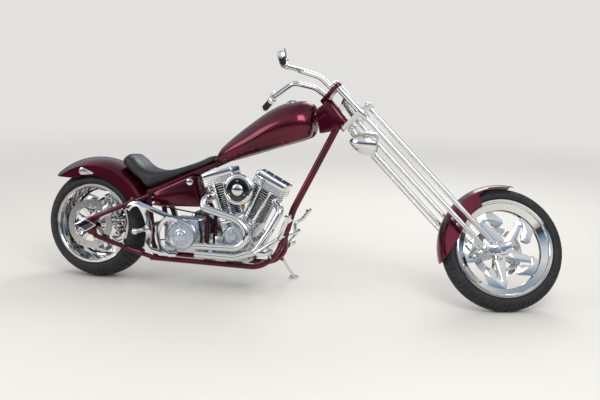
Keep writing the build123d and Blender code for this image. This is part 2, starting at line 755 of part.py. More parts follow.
# Chrome side brackets with passenger pegs
bracket_inner = -stay_y - stay_radius - 0.3
bracket_outer = bracket_inner - bracket_thickness


def strap(points, width):
    """A flat curved strap in x and z through three points."""
    path = ThreePointArc(*[(x, z) for x, z in points])
    plane = Plane(origin=(0, bracket_inner, 0), x_dir=(1, 0, 0), z_dir=(0, -1, 0))
    return extrude(plane * trace(path, width), bracket_thickness)


rear_straps = strap([(272, 440), (316, 478), (352, 480)], 30)
rear_straps += strap([(345, 482), (412, 350), (396, 216)], 34)
rear_straps += disc(404, bracket_outer, bracket_inner, 339, 24)
front_straps = strap([(345, 481), (470, 440), (594, 404)], 28)
front_straps += strap([(560, 420), (468, 300), (560, 196)], 28)
front_straps += strap([(396, 226), (486, 206), (592, 200)], 28)
peg = rod((404, bracket_outer + 4, 339), (370, bracket_outer - 88, 328), 13)
peg += Pos(370, bracket_outer - 92, 328) * Sphere(19)
stay_boss = rod((300, bracket_inner - 2, 480), (300, -168, 482), 10)
peg_arm = rod((404, bracket_inner - 2, 339), (392, -100, 346), 12)
case_boss = rod((588, bracket_inner - 2, 400), (588, -110, 394), 8)
case_boss += rod((556, bracket_inner - 2, 202), (556, -110, 216), 8)
rear_part = trim(rear_straps + peg + stay_boss + peg_arm, nodes["rear_stays"], nodes["frame_seat_posts"])
front_part = trim(front_straps + case_boss, nodes["gearbox"])
nodes["side_brackets"] = Compound(children=[rear_part + front_part, mirrored(rear_part)])

# Forward controls: a plate arm and a peg on each side, a brake pedal on the right and a shift lever on the left
control_arm = rod((1190, -14, 338), (1217, -186, 352), 12)
control_post = rod((1140, -92, 206), (peg_x, -178, peg_z), 12)
peg_link = rod((peg_x, -178, peg_z), (1217, -186, 352), 9)
foot_peg = rod((peg_x, -170, peg_z), (peg_x, -peg_end, peg_z), peg_radius)
peg_collar = rod((peg_x, -166, peg_z), (peg_x, peg_free - peg_end, peg_z), peg_radius + 5)
control = control_arm + control_post + peg_link + foot_peg + peg_collar
pedal_pad = rod((1266, -180, pedal_top), (1266, -236, pedal_top), 12)
pedal_outline = [(1204, 340), (1228, 338), (1262, 430), (1294, 452), (1270, 478), (1240, 440)]
brake_pedal = side_plate(pedal_outline, -203, -190)
cylinder_body = cone((1086, -196, 246), (1214, -190, 338), 22, 14)
cylinder_rod = rod((1120, -190, 292), (1217, -188, 352), 4)
shift_points = [(1206, 150, 350), (1191, 186, 396), (1234, 204, 424), (1266, 205, pedal_top - 4)]
shift_lever = pipe(shift_points, [20, 24], 11) + mirrored(pedal_pad)
right_control = trim(
    control + brake_pedal + pedal_pad + cylinder_body + cylinder_rod,
    nodes["frame_lower_rails"],
    nodes["frame_downtubes"],
    nodes["exhaust_pipes"],
)
left_control = trim(mirrored(control) + shift_lever, nodes["frame_lower_rails"], nodes["frame_downtubes"])
nodes["forward_controls"] = Compound(children=[right_control, left_control])

# Fork, in the steering frame
fork_nodes = {}
low_leg = rocker_rise - front_wheel_drop


def leg(side, spacing, bottom, top, radius):
    return rod((leg_x(bottom, spacing), side, bottom), (leg_x(top, spacing), side, top), radius)


def tree_plate(thickness, level, clamp_radius, front_reach=0.0):
    """A plate that joins the stem to both pairs of legs."""
    half = fork_half_width
    plate = Sketch()
    for side in (-half, half):
        clamp_circle = (leg_x(level), side, clamp_radius)
        plate += link([(0, 0, 36), clamp_circle])
        if front_reach:
            plate += link([clamp_circle, (leg_x(level, front_reach), side, front_clamp_radius)])
            plate += link([(0, 0, 36), (spring_forward, side * spring_y / half, spring_radius + 4)])
    return slab(plate, thickness, level)


upper_level = head_tube_length / 2 + tree_gap
lower_level = -head_tube_length / 2 - tree_gap - lower_tree_thickness
eye_half = leg_radius + 1
rear_legs = []
front_legs = []
for side in (-fork_half_width, fork_half_width):
    lower_part = leg(side, 0, low_leg, lower_level - 30, leg_radius)
    upper_part = leg(side, 0, lower_level - 30, upper_leg_top, upper_leg_radius)
    eye = rod((leg_x(low_leg), side - eye_half, low_leg), (leg_x(low_leg), side + eye_half, low_leg), 17)
    rear_legs.append(lower_part + upper_part + eye)
    front_low = low_leg - 34
    front_top = lower_level + lower_tree_thickness + 2
    front_part = leg(side, leg_spacing, front_low, front_top, leg_radius)
    cap = Pos(leg_x(front_top, leg_spacing), side, front_top) * Sphere(leg_radius + 1)
    front_eye = rod(
        (leg_x(front_low, leg_spacing), side - eye_half, front_low),
        (leg_x(front_low, leg_spacing), side + eye_half, front_low),
        16,
    )
    front_legs.append(front_part + cap + front_eye)
fork_nodes["fork_rear_legs"] = Compound(children=rear_legs)
fork_nodes["fork_front_legs"] = Compound(children=front_legs)
legs = (fork_nodes["fork_rear_legs"], fork_nodes["fork_front_legs"])
stem = Pos(0, 0, lower_level + 4) * Solid.make_cylinder(stem_radius, upper_level - lower_level + tree_thickness - 6)
lower_tree = tree_plate(lower_tree_thickness, lower_level, lower_clamp_radius, leg_spacing)
fork_nodes["lower_tree"] = trim(lower_tree + stem, *legs)
fork_nodes["top_tree"] = trim(tree_plate(tree_thickness, upper_level, top_clamp_radius), stem, *legs)


def spring(side):
    """A coil drawn as stacked rings on a rod, between the lower tree and its top clamp."""
    low = lower_level + lower_tree_thickness
    high = yoke_level
    step = (high - low - 16) / spring_turns
    coil = Pos(0, 0, low) * Solid.make_cylinder(spring_radius - spring_wire, high - low)
    for index in range(spring_turns):
        coil += Pos(0, 0, low + 8 + step * (index + 0.5)) * Torus(spring_radius - spring_wire, spring_wire)
    return Pos(spring_forward, side, 0) * coil


yoke_circles = [(spring_forward, side, spring_radius + 4) for side in (-spring_y, spring_y)]
yoke_circles += [(leg_x(yoke_level), side, 14) for side in (-fork_half_width, fork_half_width)]
yoke = slab(link(yoke_circles), yoke_thickness, yoke_level)
fork_nodes["fork_springs"] = trim(spring(-spring_y) + spring(spring_y) + yoke, *legs)

# Rockers and front axle
rear_pivot = (leg_x(low_leg), low_leg)
front_pivot = (leg_x(low_leg - 34, leg_spacing), low_leg - 34)
plane_xz = Plane(origin=(0, 0, 0), x_dir=(1, 0, 0), z_dir=(0, -1, 0))
rocker_inner = fork_half_width + eye_half + 1
rocker_reach = rocker_inner + 18
rocker_outline = link([
    (rear_pivot[0], rear_pivot[1], 17),
    (front_pivot[0], front_pivot[1], 22),
    (front_wheel_forward, -front_wheel_drop, 20),
])
rocker = Pos(0, -rocker_inner, 0) * extrude(plane_xz * rocker_outline, 12)
for x, z in (rear_pivot, front_pivot):
    rocker += rod((x, 12 - fork_half_width, z), (x, -rocker_reach, z), 7)
axle = disc(front_wheel_forward, -rocker_reach, 0, -front_wheel_drop, axle_radius)
spacer = disc(front_wheel_forward, -rocker_inner, -front_rotor_y - 10, -front_wheel_drop, 17)
rocker_side = trim(rocker, fork_nodes["fork_rear_legs"], fork_nodes["fork_front_legs"]) + axle + spacer
fork_nodes["rockers"] = rocker_side + mirrored(rocker_side)

# Handlebars with levers, and grips
bar_path = [Vector(forward, side, up) for forward, side, up in bar_points]
bar = pipe(bar_path, list(bar_bends), bar_radius)
bar_end = bar_path[-1]
bar_line = (bar_path[-1] - bar_path[-2]).normalized()
grip_start = bar_end - bar_line * grip_length
clamp_start = grip_start - bar_line * 34
clamp = rod(tuple(clamp_start), tuple(grip_start - bar_line * 4), bar_radius + 7)
lever_root = clamp_start + bar_line * 14 + Vector(24, 0, 12)
lever_tip = lever_root + bar_line * 150 + Vector(12, 0, 4)
hand_lever = rod(tuple(clamp_start + bar_line * 14), tuple(lever_root), 8)
hand_lever += rod(tuple(lever_root), tuple(lever_tip), 5)
reservoir = rod(tuple(lever_root - Vector(0, 0, 8)), tuple(lever_root + Vector(0, 0, 26)), 16)
bar_side = trim(bar + clamp + hand_lever + reservoir, fork_nodes["top_tree"])
fork_nodes["handlebars"] = both(bar_side)
grip = rod(tuple(grip_start), tuple(bar_end + bar_line * 5), grip_radius)
fork_nodes["hand_grips"] = both(grip - rod(tuple(grip_start - bar_line), tuple(bar_end), bar_radius))

# Headlight: a bullet shell on a post under the lower tree
lamp_frame = Pos(lamp_forward, 0, -lamp_drop) * Rot(0, rake_angle, 0)
shell_half = lamp_length / 2
shell_lines = [
    Line((-shell_half, 0), (shell_half, 0)),
    Line((shell_half, 0), (shell_half, lamp_radius)),
    Line((shell_half, lamp_radius), (shell_half - 30, lamp_radius)),
    ThreePointArc((shell_half - 30, lamp_radius), (-shell_half * 0.4, lamp_radius * 0.76), (-shell_half, lamp_nose)),
    Line((-shell_half, lamp_nose), (-shell_half, 0)),
]
shell = revolve(make_face(shell_lines), Axis.X)
post = rod((lamp_forward, 0, -lamp_drop + 30), (lamp_forward, 0, lower_level), 11)
fork_nodes["headlight"] = lamp_frame * shell + post
lens_lines = [
    Line((shell_half + 0.1, 0), (shell_half + 12, 0)),
    ThreePointArc((shell_half + 12, 0), (shell_half + 9, lamp_radius * 0.6), (shell_half + 3, lamp_radius - 4)),
    Line((shell_half + 3, lamp_radius - 4), (shell_half + 0.1, lamp_radius - 4)),
    Line((shell_half + 0.1, lamp_radius - 4), (shell_half + 0.1, 0)),
]
fork_nodes["headlight_lens"] = lamp_frame * revolve(make_face(lens_lines), Axis.X)

# Front fender with its stays
wheel_place = Pos(front_wheel_forward, 0, -front_wheel_drop)
front_fender = wheel_place * fender_shell(
    front_fender_radius, 262.0, front_fender_half, fender_wall, 344.0, 44.0, 114.0
)
front_edge = [(28, 245), (52, 322), (140, 325), (205, 285), (262, 236), (300, 180), (0, 150)]
rear_edge = [(-120, 228), (-178, 204), (-232, 182), (-280, 162), (-330, 146), (-400, 80), (-240, 0), (-60, 150)]
for outline in (front_edge, rear_edge):
    front_fender -= wheel_place * side_plate(outline, -200, 200)
front_stays = [
    rod((leg_x(up), front_fender_half - 1, up), (leg_x(up), fork_half_width, up), 5)
    for up in stay_levels
]
front_stays = trim(front_stays[0] + front_stays[1], *legs)
fork_nodes["front_fender"] = front_fender + front_stays + mirrored(front_stays)

# Front brake caliper on the left leg
caliper_at = Rot(0, -caliper_angle, 0)
slot = disc(0, front_rotor_y - 7.5, front_rotor_y + 7.5, 0, rotor_radius + 5)
body = caliper_at * Pos(rotor_radius - 20, front_rotor_y + 2, 0) * Box(66, 48, 104)
pistons = [caliper_at * Pos(rotor_radius - 20, 0, z) * rod((0, 100, 0), (0, 118, 0), 20) for z in (-26, 26)]
hanger_level = low_leg + 60
hanger_root = (leg_x(hanger_level) - front_wheel_forward, fork_half_width, front_wheel_drop + hanger_level)
hanger = rod(hanger_root, (-96, 100, 96), 10)
caliper_side = trim(body, slot) + pistons[0] + pistons[1] + hanger
fork_nodes["front_caliper"] = trim(wheel_place * caliper_side, *legs)

# Brake hose down the back of the left leg
hose_y = fork_half_width + 4
hose_points = [
    (leg_x(lower_level) - 28, hose_y, lower_level - 1.0),
    (leg_x(-400) - 28, hose_y, -400),
    (leg_x(-930) - 28, hose_y, -930),
    (leg_x(-990) - 28, fork_half_width - 29, -1000),
    (leg_x(-1010) - 10, front_rotor_y + 20, -1052),
]
fork_nodes["brake_hose"] = trim(pipe(hose_points, [400, 30, 18], hose_radius), fork_nodes["front_caliper"])

for name, shape in fork_nodes.items():
    nodes[name] = fork_frame * shape

# Place everything: steer the fork, lean the bike, and centre it over its footprint
steer = fork_frame * Rot(0, 0, steer_angle) * fork_frame.inverse()
front_names = list(fork_nodes) + ["front_rim", "front_tyre", "front_rotor"]
placed = {}
for name, shape in nodes.items():
    turned = steer * shape if name in front_names else shape
    placed[name] = parked * turned
boxes = [shape.bounding_box() for shape in placed.values()]
centre_x = (min(box.min.X for box in boxes) + max(box.max.X for box in boxes)) / 2
centre_y = (min(box.min.Y for box in boxes) + max(box.max.Y for box in boxes)) / 2
ground = min(box.min.Z for box in boxes)
to_origin = Pos(-centre_x, -centre_y, -ground)
for name, shape in placed.items():
    export_step(to_origin * shape, f"parts/{name}.step")
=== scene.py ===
"""Dresses the long-fork chopper motorcycle in candy paint, chrome, leather and rubber, in its studio."""

import json
from itertools import product
from math import copysign, cos, pi, radians, sin, sqrt, tan

import bmesh
import bpy
from mathutils import Matrix, Vector


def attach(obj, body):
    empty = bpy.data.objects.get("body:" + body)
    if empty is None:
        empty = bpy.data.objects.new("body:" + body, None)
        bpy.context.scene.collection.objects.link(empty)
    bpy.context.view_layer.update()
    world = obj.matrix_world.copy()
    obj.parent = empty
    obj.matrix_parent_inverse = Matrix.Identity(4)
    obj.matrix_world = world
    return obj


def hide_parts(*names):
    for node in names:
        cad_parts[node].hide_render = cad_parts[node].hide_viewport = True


bl_info = {
    "name": "Chopper Motorcycle Dresser",
    "version": (1, 0, 0),
    "blender": (4, 5, 0),
    "location": "View3D > Sidebar > Chopper",
    "description": "Models and finishes the visible pieces of a long-fork chopper motorcycle",
    "category": "Object",
}

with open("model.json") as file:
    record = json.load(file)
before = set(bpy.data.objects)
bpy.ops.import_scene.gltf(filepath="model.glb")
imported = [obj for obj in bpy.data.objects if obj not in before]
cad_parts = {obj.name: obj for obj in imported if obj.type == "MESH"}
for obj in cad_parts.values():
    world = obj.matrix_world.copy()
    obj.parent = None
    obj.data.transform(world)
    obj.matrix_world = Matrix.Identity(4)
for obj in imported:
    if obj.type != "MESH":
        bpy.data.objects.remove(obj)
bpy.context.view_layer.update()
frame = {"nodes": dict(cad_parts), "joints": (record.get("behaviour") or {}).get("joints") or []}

# The part's own sizes, in millimetres, in the upright bike frame and the steering frame
MM = 0.001
RAKE = radians(40.0)
REAR_AXLE_HEIGHT = 331.0
AXLE_RADIUS = 10.0
AXLE_GAP = 0.3
WHEEL_FORWARD = 310.3
WHEEL_DROP = 1171.0
RIM_LIP = 14.0
RIM_FLANGE = 6.0
BEAD_GAP = 0.2
FORK_HALF = 145.0
LEG_REFERENCE = (103.0, -400.0)
LEG_SLOPE = tan(radians(6.2))
LEG_SPACING = 56.0
LOW_LEG = 62.0 - WHEEL_DROP
LOW_FRONT_LEG = LOW_LEG - 34.0
LOWER_TREE = -116.0
TUBE = 16.0
TIE = 14.0
RAIL_HEIGHT = 156.0
RAIL_HALF = 110.0
SEAT_RAIL = ((352.0, 545.0), (752.0, 734.0))
SEAT_RAIL_HALF = 96.0
BACKBONE = ((738.0, 728.0), (1442.0, 1069.0))
TUNNEL_HALF = 25.0
FENDER_WALL = 3.0
CRANK = (916.0, 262.0)
CYLINDER_ANGLES = (-19.0, 26.0)
DECK = 185.0
BARREL = 125.0
HEAD = 72.0
ROCKER = 78.0
AIR_CLEANER = (942.0, 600.0)
GEARBOX_COVER = (590.0, 308.0)
PULLEY_SHAFT = (604.0, 340.0)
PRIMARY_Y = 166.0


def frame_places(joints):
    """Matrices from the bike frame and the steering frame to the parked motorcycle, from its joints."""
    axis = Vector(joints["steering"]["axis"]).normalized()
    side = Vector(joints["rear_wheel_spin"]["axis"]).normalized()
    ahead = side.cross(axis)
    forward = ahead * cos(RAKE) - axis * sin(RAKE)
    up = ahead * sin(RAKE) + axis * cos(RAKE)
    ground = Vector(joints["rear_wheel_spin"]["pos_m"]) - up * REAR_AXLE_HEIGHT * MM
    turned_side = Vector(joints["front_wheel_spin"]["axis"]).normalized()
    turned_ahead = turned_side.cross(axis)
    places = []
    for columns, origin in (
        ((forward, side, up), ground),
        ((turned_ahead, turned_side, axis), Vector(joints["steering"]["pos_m"])),
    ):
        place = Matrix([column * MM for column in columns]).transposed().to_4x4()
        place.translation = origin
        places.append(place)
    return places


JOINTS = {joint["name"]: joint for joint in frame["joints"]}
BIKE, FORK = frame_places(JOINTS)
REAR = BIKE @ Matrix.Translation((0, 0, REAR_AXLE_HEIGHT))
FRONT = FORK @ Matrix.Translation((WHEEL_FORWARD, 0, -WHEEL_DROP))
PLACES = {"chassis": BIKE, "fork": FORK, "front_wheel": FRONT, "rear_wheel": REAR}
STAND_PIVOT = BIKE.inverted() @ Vector(JOINTS["stand_swing"]["pos_m"])
STAND_AXIS = (BIKE.inverted().to_3x3() @ Vector(JOINTS["stand_swing"]["axis"])).normalized()
MIRROR = Matrix.Diagonal((1, -1, 1, 1))


def on_leg(up, side, spacing=0.0):
    """A point at a fork leg, at a height along the steering axis."""
    return (LEG_REFERENCE[0] + spacing + (LEG_REFERENCE[1] - up) * LEG_SLOPE, side, up)


def moved_to(spot):
    """The move from the origin to a point given as (x, z)."""
    return Matrix.Translation((spot[0], 0, spot[1]))


def round_turns(count, lead=0.0):
    """Turns about the y axis that share out a circle, after a lead angle."""
    return [Matrix.Rotation(2 * pi * index / count + lead, 4, "Y") for index in range(count)]


# Settings a user would change
class ChopperColours(bpy.types.PropertyGroup):
    """Colours as sRGB hex values"""

    paint: bpy.props.StringProperty(
        name="Candy paint", description="Tinted lacquer over silver flake", default="#5E0622", maxlen=7
    )
    leather: bpy.props.StringProperty(
        name="Seat leather", description="Dyed hide", default="#0E0E10", maxlen=7
    )
    rubber: bpy.props.StringProperty(
        name="Tyre rubber", description="Moulded rubber", default="#1B1B1D", maxlen=7
    )


class ChopperSizes(bpy.types.PropertyGroup):
    """Sizes in millimetres, and counts"""

    groove_depth: bpy.props.FloatProperty(
        name="Tread groove", description="Depth in mm", default=3.0, min=0.5, max=8.0,
        subtype="DISTANCE", unit="NONE",
    )
    fin_count: bpy.props.IntProperty(
        name="Barrel fins", description="Fins on each cylinder", default=11, min=5, max=16,
        subtype="UNSIGNED",
    )
    edge: bpy.props.FloatProperty(
        name="Machined edge", description="Width in mm", default=1.5, min=0.2, max=4.0,
        subtype="DISTANCE", unit="NONE",
    )
    focal: bpy.props.FloatProperty(
        name="Focal length", description="Camera lens in mm", default=60.617, min=20.0, max=200.0,
        unit="CAMERA",
    )


# Bmesh helpers, all in millimetres
def flat_edges(bm, limit):
    """Edges whose faces meet at more than a limit."""
    return [edge for edge in bm.edges if len(edge.link_faces) == 2 and edge.calc_face_angle(0.0) > limit]


def soften(bm, edges, width, segments=2):
    """Rounds edges over to a width."""
    bmesh.ops.bevel(
        bm,
        geom=edges,
        offset=width,
        offset_type="OFFSET",
        segments=segments,
        profile=0.5,
        affect="EDGES",
        clamp_overlap=True,
        material=-1,
    )


def add_shape(bm, part, place=None):
    """Adds a finished part to a larger mesh."""
    if place is not None:
        part.transform(place)
    holder = bpy.data.meshes.new("part")
    bmesh.ops.recalc_face_normals(part, faces=part.faces)
    part.to_mesh(holder)
    bm.from_mesh(holder)
    bpy.data.meshes.remove(holder)
    part.free()


def there_and_back(profile):
    """A half profile followed by its mirror image across y = 0."""
    return profile + [(radius, -y) for radius, y in reversed(profile)]


def turned(bm, profile, place=None, steps=64, closed=True):
    """A part turned about the y axis from (radius, y) points."""
    part = bmesh.new()
    verts = [part.verts.new((radius, y, 0)) for radius, y in profile]
    ends = verts[1:] + (verts[:1] if closed else [])
    edges = [part.edges.new(pair) for pair in zip(verts, ends)]
    bmesh.ops.spin(
        part, geom=verts + edges, cent=(0, 0, 0), axis=(0, 1, 0), angle=2 * pi, steps=steps, use_merge=True
    )
    bmesh.ops.remove_doubles(part, verts=part.verts, dist=0.01)
    add_shape(bm, part, place)


def along(start, end):
    """A matrix that lays the z axis from one point to another, at the middle."""
    start = Vector(start)
    end = Vector(end)
    turn = (end - start).to_track_quat("Z", "Y").to_matrix().to_4x4()
    return Matrix.Translation((start + end) / 2) @ turn


def bar(bm, start, end, radius, radius_end=None, sides=32, soft=0.0, place=None):
    """A round bar or taper from point to point."""
    part = bmesh.new()
    length = (Vector(end) - Vector(start)).length
    last = radius if radius_end is None else radius_end
    bmesh.ops.create_cone(part, cap_ends=True, segments=sides, radius1=radius, radius2=last, depth=length)
    if soft:
        soften(part, flat_edges(part, radians(50)), soft)
    part.transform(along(start, end))
    add_shape(bm, part, place)


def push(part, ring, shift):
    """Pulls a ring of edges out into a straight run."""
    made = bmesh.ops.extrude_edge_only(part, edges=ring)["geom"]
    moved = [item for item in made if isinstance(item, bmesh.types.BMVert)]
    bmesh.ops.translate(part, verts=moved, vec=shift)
    return [item for item in made if isinstance(item, bmesh.types.BMEdge)]


def bent_bar(bm, points, bends, radius, sides=24, place=None):
    """A round bar along straight runs joined by bends of given radii."""
    part = bmesh.new()
    points = [Vector(point) for point in points]
    bends = [bends] * (len(points) - 2) if isinstance(bends, (int, float)) else bends
    lay = (points[1] - points[0]).to_track_quat("Z", "Y").to_matrix().to_4x4()
    bmesh.ops.create_circle(part, cap_ends=True, segments=sides, radius=radius)
    part.transform(Matrix.Translation(points[0]) @ lay)
    ring = list(part.edges)
    spot = points[0]
    for index in range(1, len(points) - 1):
        before = (points[index] - points[index - 1]).normalized()
        after = (points[index + 1] - points[index]).normalized()
        turn = before.angle(after)
        reach = bends[index - 1] * tan(turn / 2)
        start = points[index] - before * reach
        ring = push(part, ring, start - spot)
        axis = before.cross(after).normalized()
        centre = start + axis.cross(before) * bends[index - 1]
        steps = max(3, int(turn / radians(7)))
        made = bmesh.ops.spin(part, geom=ring, cent=centre, axis=axis, angle=turn, steps=steps)
        ring = [item for item in made["geom_last"] if isinstance(item, bmesh.types.BMEdge)]
        spot = points[index] + after * reach
    ring = push(part, ring, points[-1] - spot)
    bmesh.ops.contextual_create(part, geom=ring)
    add_shape(bm, part, place)


def cut_plate(bm, outline, low, high, place=None, corner=0.0, soft=0.0, segments=3):
    """A plate cut to an outline in x and z, between two planes across y."""
    part = bmesh.new()
    face = part.faces.new([part.verts.new((x, low, z)) for x, z in outline])
    if corner:
        bmesh.ops.bevel(
            part,
            geom=list(part.verts),
            offset=corner,
            segments=segments,
            profile=0.5,
            affect="VERTICES",
            clamp_overlap=True,
            material=-1,
        )
        face = part.faces[:][0]
    made = bmesh.ops.extrude_face_region(part, geom=[face])["geom"]
    moved = [item for item in made if isinstance(item, bmesh.types.BMVert)]
    bmesh.ops.translate(part, verts=moved, vec=(0, high - low, 0))
    if soft:
        soften(part, flat_edges(part, radians(50)), soft)
    add_shape(bm, part, place)


def side_plates(bm, outline, near, far, **look):
    """The same plate on both sides of the bike, between two distances from its middle."""
    for side in (-1, 1):
        low, high = sorted((near * side, far * side))
        cut_plate(bm, outline, low, high, **look)


def deck_plate(bm, outline, low, high, place, soft=0.8):
    """A slab cut to an outline in x and y, between two heights."""
    flip = Matrix.Rotation(radians(90), 4, "X")
    cut_plate(bm, [(x, -y) for x, y in outline], low, high, place @ flip, soft=soft)


def hull_outline(circles, steps):
    """An outline that wraps round circles given as (x, z, radius)."""
    flat = bmesh.new()
    verts = []
    for x, z, radius in circles:
        for index in range(steps):
            angle = 2 * pi * index / steps
            verts.append(flat.verts.new((x + radius * cos(angle), 0, z + radius * sin(angle))))
    hull = bmesh.ops.convex_hull(flat, input=verts)["geom"]
    kept = {item for item in hull if isinstance(item, bmesh.types.BMVert)}
    middle = sum((vert.co for vert in kept), Vector()) / len(kept)
    spots = [(vert.co.x, vert.co.z) for vert in kept]
    flat.free()
    start = Vector((1, 0))
    return sorted(spots, key=lambda spot: start.angle_signed(Vector(spot) - middle.xz, 0))


def rounded(length, width, radius):
    """A rounded rectangle's outline about the origin."""
    steps = 5
    points = []
    for turn, (x, y) in enumerate(((1, 1), (-1, 1), (-1, -1), (1, -1))):
        for index in range(steps + 1):
            angle = pi / 2 * (turn + index / steps)
            points.append((
                x * (length / 2 - radius) + radius * cos(angle),
                y * (width / 2 - radius) + radius * sin(angle),
            ))
    return points


def arc(start, middle, end, count):
    """Points along the circle through three points."""
    (ax, ay), (bx, by), (cx, cy) = start, middle, end
    d = 2 * (ax * (by - cy) + bx * (cy - ay) + cx * (ay - by))
    sa, sb, sc = ax * ax + ay * ay, bx * bx + by * by, cx * cx + cy * cy
    ox = (sa * (by - cy) + sb * (cy - ay) + sc * (ay - by)) / d
    oy = (sa * (cx - bx) + sb * (ax - cx) + sc * (bx - ax)) / d
    a = Vector((ax - ox, ay - oy))
    b = Vector((bx - ox, by - oy))
    c = Vector((cx - ox, cy - oy))
    first = -a.angle_signed(b)
    total = first - b.angle_signed(c)
    points = []
    for index in range(count + 1):
        angle = total * index / count
        x = a.x * cos(angle) - a.y * sin(angle)
        y = a.x * sin(angle) + a.y * cos(angle)
        points.append((ox + x, oy + y))
    return points


def block(bm, centre, size, soft=0.0, place=None):
    """A box about its centre, with rounded edges."""
    part = bmesh.new()
    bmesh.ops.create_cube(part, size=1.0, matrix=Matrix.Diagonal((*size, 1)))
    if soft:
        soften(part, list(part.edges), soft)
    part.transform(Matrix.Translation(centre))
    add_shape(bm, part, place)


def ball(bm, centre, radius, place=None):
    """A ball about its centre."""
    part = bmesh.new()
    bmesh.ops.create_uvsphere(part, u_segments=24, v_segments=14, radius=radius)
    part.transform(Matrix.Translation(centre))
    add_shape(bm, part, place)


def acorn(bm, at, direction, radius):
    """A domed nut on a washer, with its foot at a point."""
    at = Vector(at)
    way = Vector(direction).normalized()
    bar(bm, at, at + way * radius * 0.3, radius * 1.25, sides=20)
    bar(bm, at + way * radius * 0.3, at + way * radius * 1.0, radius, sides=6, soft=radius * 0.12)
    bar(bm, at + way * radius, at + way * radius * 1.6, radius * 0.78, radius * 0.35, sides=16)


def socket_bolt(bm, at, direction, radius, place=None):
    """A round cap bolt with its foot at a point."""
    at = Vector(at)
    way = Vector(direction).normalized()
    bar(bm, at - way, at + way * radius * 0.9, radius, sides=16, soft=radius * 0.2, place=place)


def bolt_ring(bm, count, radius, y, way, size, place=Matrix(), lead=0.0):
    """Cap bolts on a circle about the y axis, with their heads towards one side."""
    for turn in round_turns(count, lead):
        socket_bolt(bm, (radius, y, 0), (0, way, 0), size, place @ turn)


def carve(bm, cutter):
    """Cuts one closed shape out of another."""
    bodies = []
    for shape in (bm, cutter):
        holder = bpy.data.meshes.new("carved")
        bmesh.ops.recalc_face_normals(shape, faces=shape.faces)
        shape.to_mesh(holder)
        body = bpy.data.objects.new("carved", holder)
        bpy.context.scene.collection.objects.link(body)
        bodies.append(body)
    cut = bodies[0].modifiers.new("cut", "BOOLEAN")
    cut.operation = "DIFFERENCE"
    cut.solver = "EXACT"
    cut.object = bodies[1]
    graph = bpy.context.evaluated_depsgraph_get()
    result = bpy.data.meshes.new_from_object(bodies[0].evaluated_get(graph))
    bm.clear()
    bm.from_mesh(result)
    bpy.data.meshes.remove(result)
    for body in bodies:
        holder = body.data
        bpy.data.objects.remove(body)
        bpy.data.meshes.remove(holder)
    cutter.free()


def bridge_rings(bm, rings):
    """Joins rows of section points into a skin, and closes both ends."""
    loops = []
    for ring in rings:
        verts = [bm.verts.new(point) for point in ring]
        loops.append([bm.edges.new(pair) for pair in zip(verts, verts[1:] + verts[:1])])
    for one, two in zip(loops, loops[1:]):
        bmesh.ops.bridge_loops(bm, edges=one + two)
    for end in (loops[0], loops[-1]):
        bmesh.ops.contextual_create(bm, geom=end)
    bmesh.ops.recalc_face_normals(bm, faces=bm.faces)


def spread(rows, x):
    """A smooth value between table rows at a place along the bike."""
    for index in range(len(rows) - 1):
        if x <= rows[index + 1][0]:
            break
    a = rows[max(index - 1, 0)]
    b = rows[index]
    c = rows[index + 1]
    d = rows[min(index + 2, len(rows) - 1)]
    t = (x - b[0]) / (c[0] - b[0])
    t2, t3 = t * t, t * t * t
    values = []
    for p0, p1, p2, p3 in zip(a[1:], b[1:], c[1:], d[1:]):
        slope1 = (p2 - p0) / (c[0] - a[0]) * (c[0] - b[0])
        slope2 = (p3 - p1) / (d[0] - b[0]) * (c[0] - b[0])
        start = (2 * t3 - 3 * t2 + 1) * p1 + (t3 - 2 * t2 + t) * slope1
        end = (3 * t2 - 2 * t3) * p2 + (t3 - t2) * slope2
        values.append(start + end)
    return values


# Pieces: the finish of each gives its slot
finishes = {}


def add_object(name, bm, finish, body, hides, limit):
    """Makes an object of a mesh already in place, finished and riding on its body."""
    for face in bm.faces:
        face.smooth = True
    for edge in bm.edges:
        edge.smooth = edge.calc_face_angle(pi) < radians(limit)
    mesh = bpy.data.meshes.new(name)
    bm.to_mesh(mesh)
    bm.free()
    mesh.materials.append(finishes[finish])
    made = bpy.data.objects.new(name, mesh)
    bpy.context.scene.collection.objects.link(made)
    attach(made, body)
    if hides:
        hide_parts(*hides)
    return made


def piece(name, bm, finish, *hides, body="chassis", place=None, limit=36.0):
    """A modelled piece, moved from its body's own frame to the parked motorcycle."""
    bmesh.ops.remove_doubles(bm, verts=bm.verts, dist=0.005)
    bm.transform(PLACES[body] if place is None else place)
    return add_object(name, bm, finish, body, hides, limit)


def dressed_copy(name, node, finish, width=0.9, body="chassis"):
    """A smooth-edged copy of a CAD node, for pieces whose shape is already right."""
    bm = bmesh.new()
    bm.from_mesh(frame["nodes"][node].data)
    bmesh.ops.remove_doubles(bm, verts=bm.verts, dist=0.02 * MM)
    bmesh.ops.dissolve_limit(bm, angle_limit=radians(0.5), verts=bm.verts, edges=bm.edges)
    soften(bm, flat_edges(bm, radians(50)), width * MM)
    add_object(name, bm, finish, body, (node,), 30)


# Materials
def colour(code):
    """A linear colour from an sRGB hex value."""
    parts = [int(code[index : index + 2], 16) / 255 for index in (1, 3, 5)]
    linear = [part / 12.92 if part <= 0.04045 else ((part + 0.055) / 1.055) ** 2.4 for part in parts]
    return (*linear, 1.0)


def add_node(tree, kind, links=(), **settings):
    """Adds a node, sets its properties or input sockets, and links sockets into it."""
    node = tree.nodes.new(kind)
    for name, value in settings.items():
        if hasattr(node, name):
            setattr(node, name, value)
        else:
            node.inputs[name.replace("_", " ")].default_value = value
    for source, socket in links:
        tree.links.new(source, node.inputs[socket])
    return node


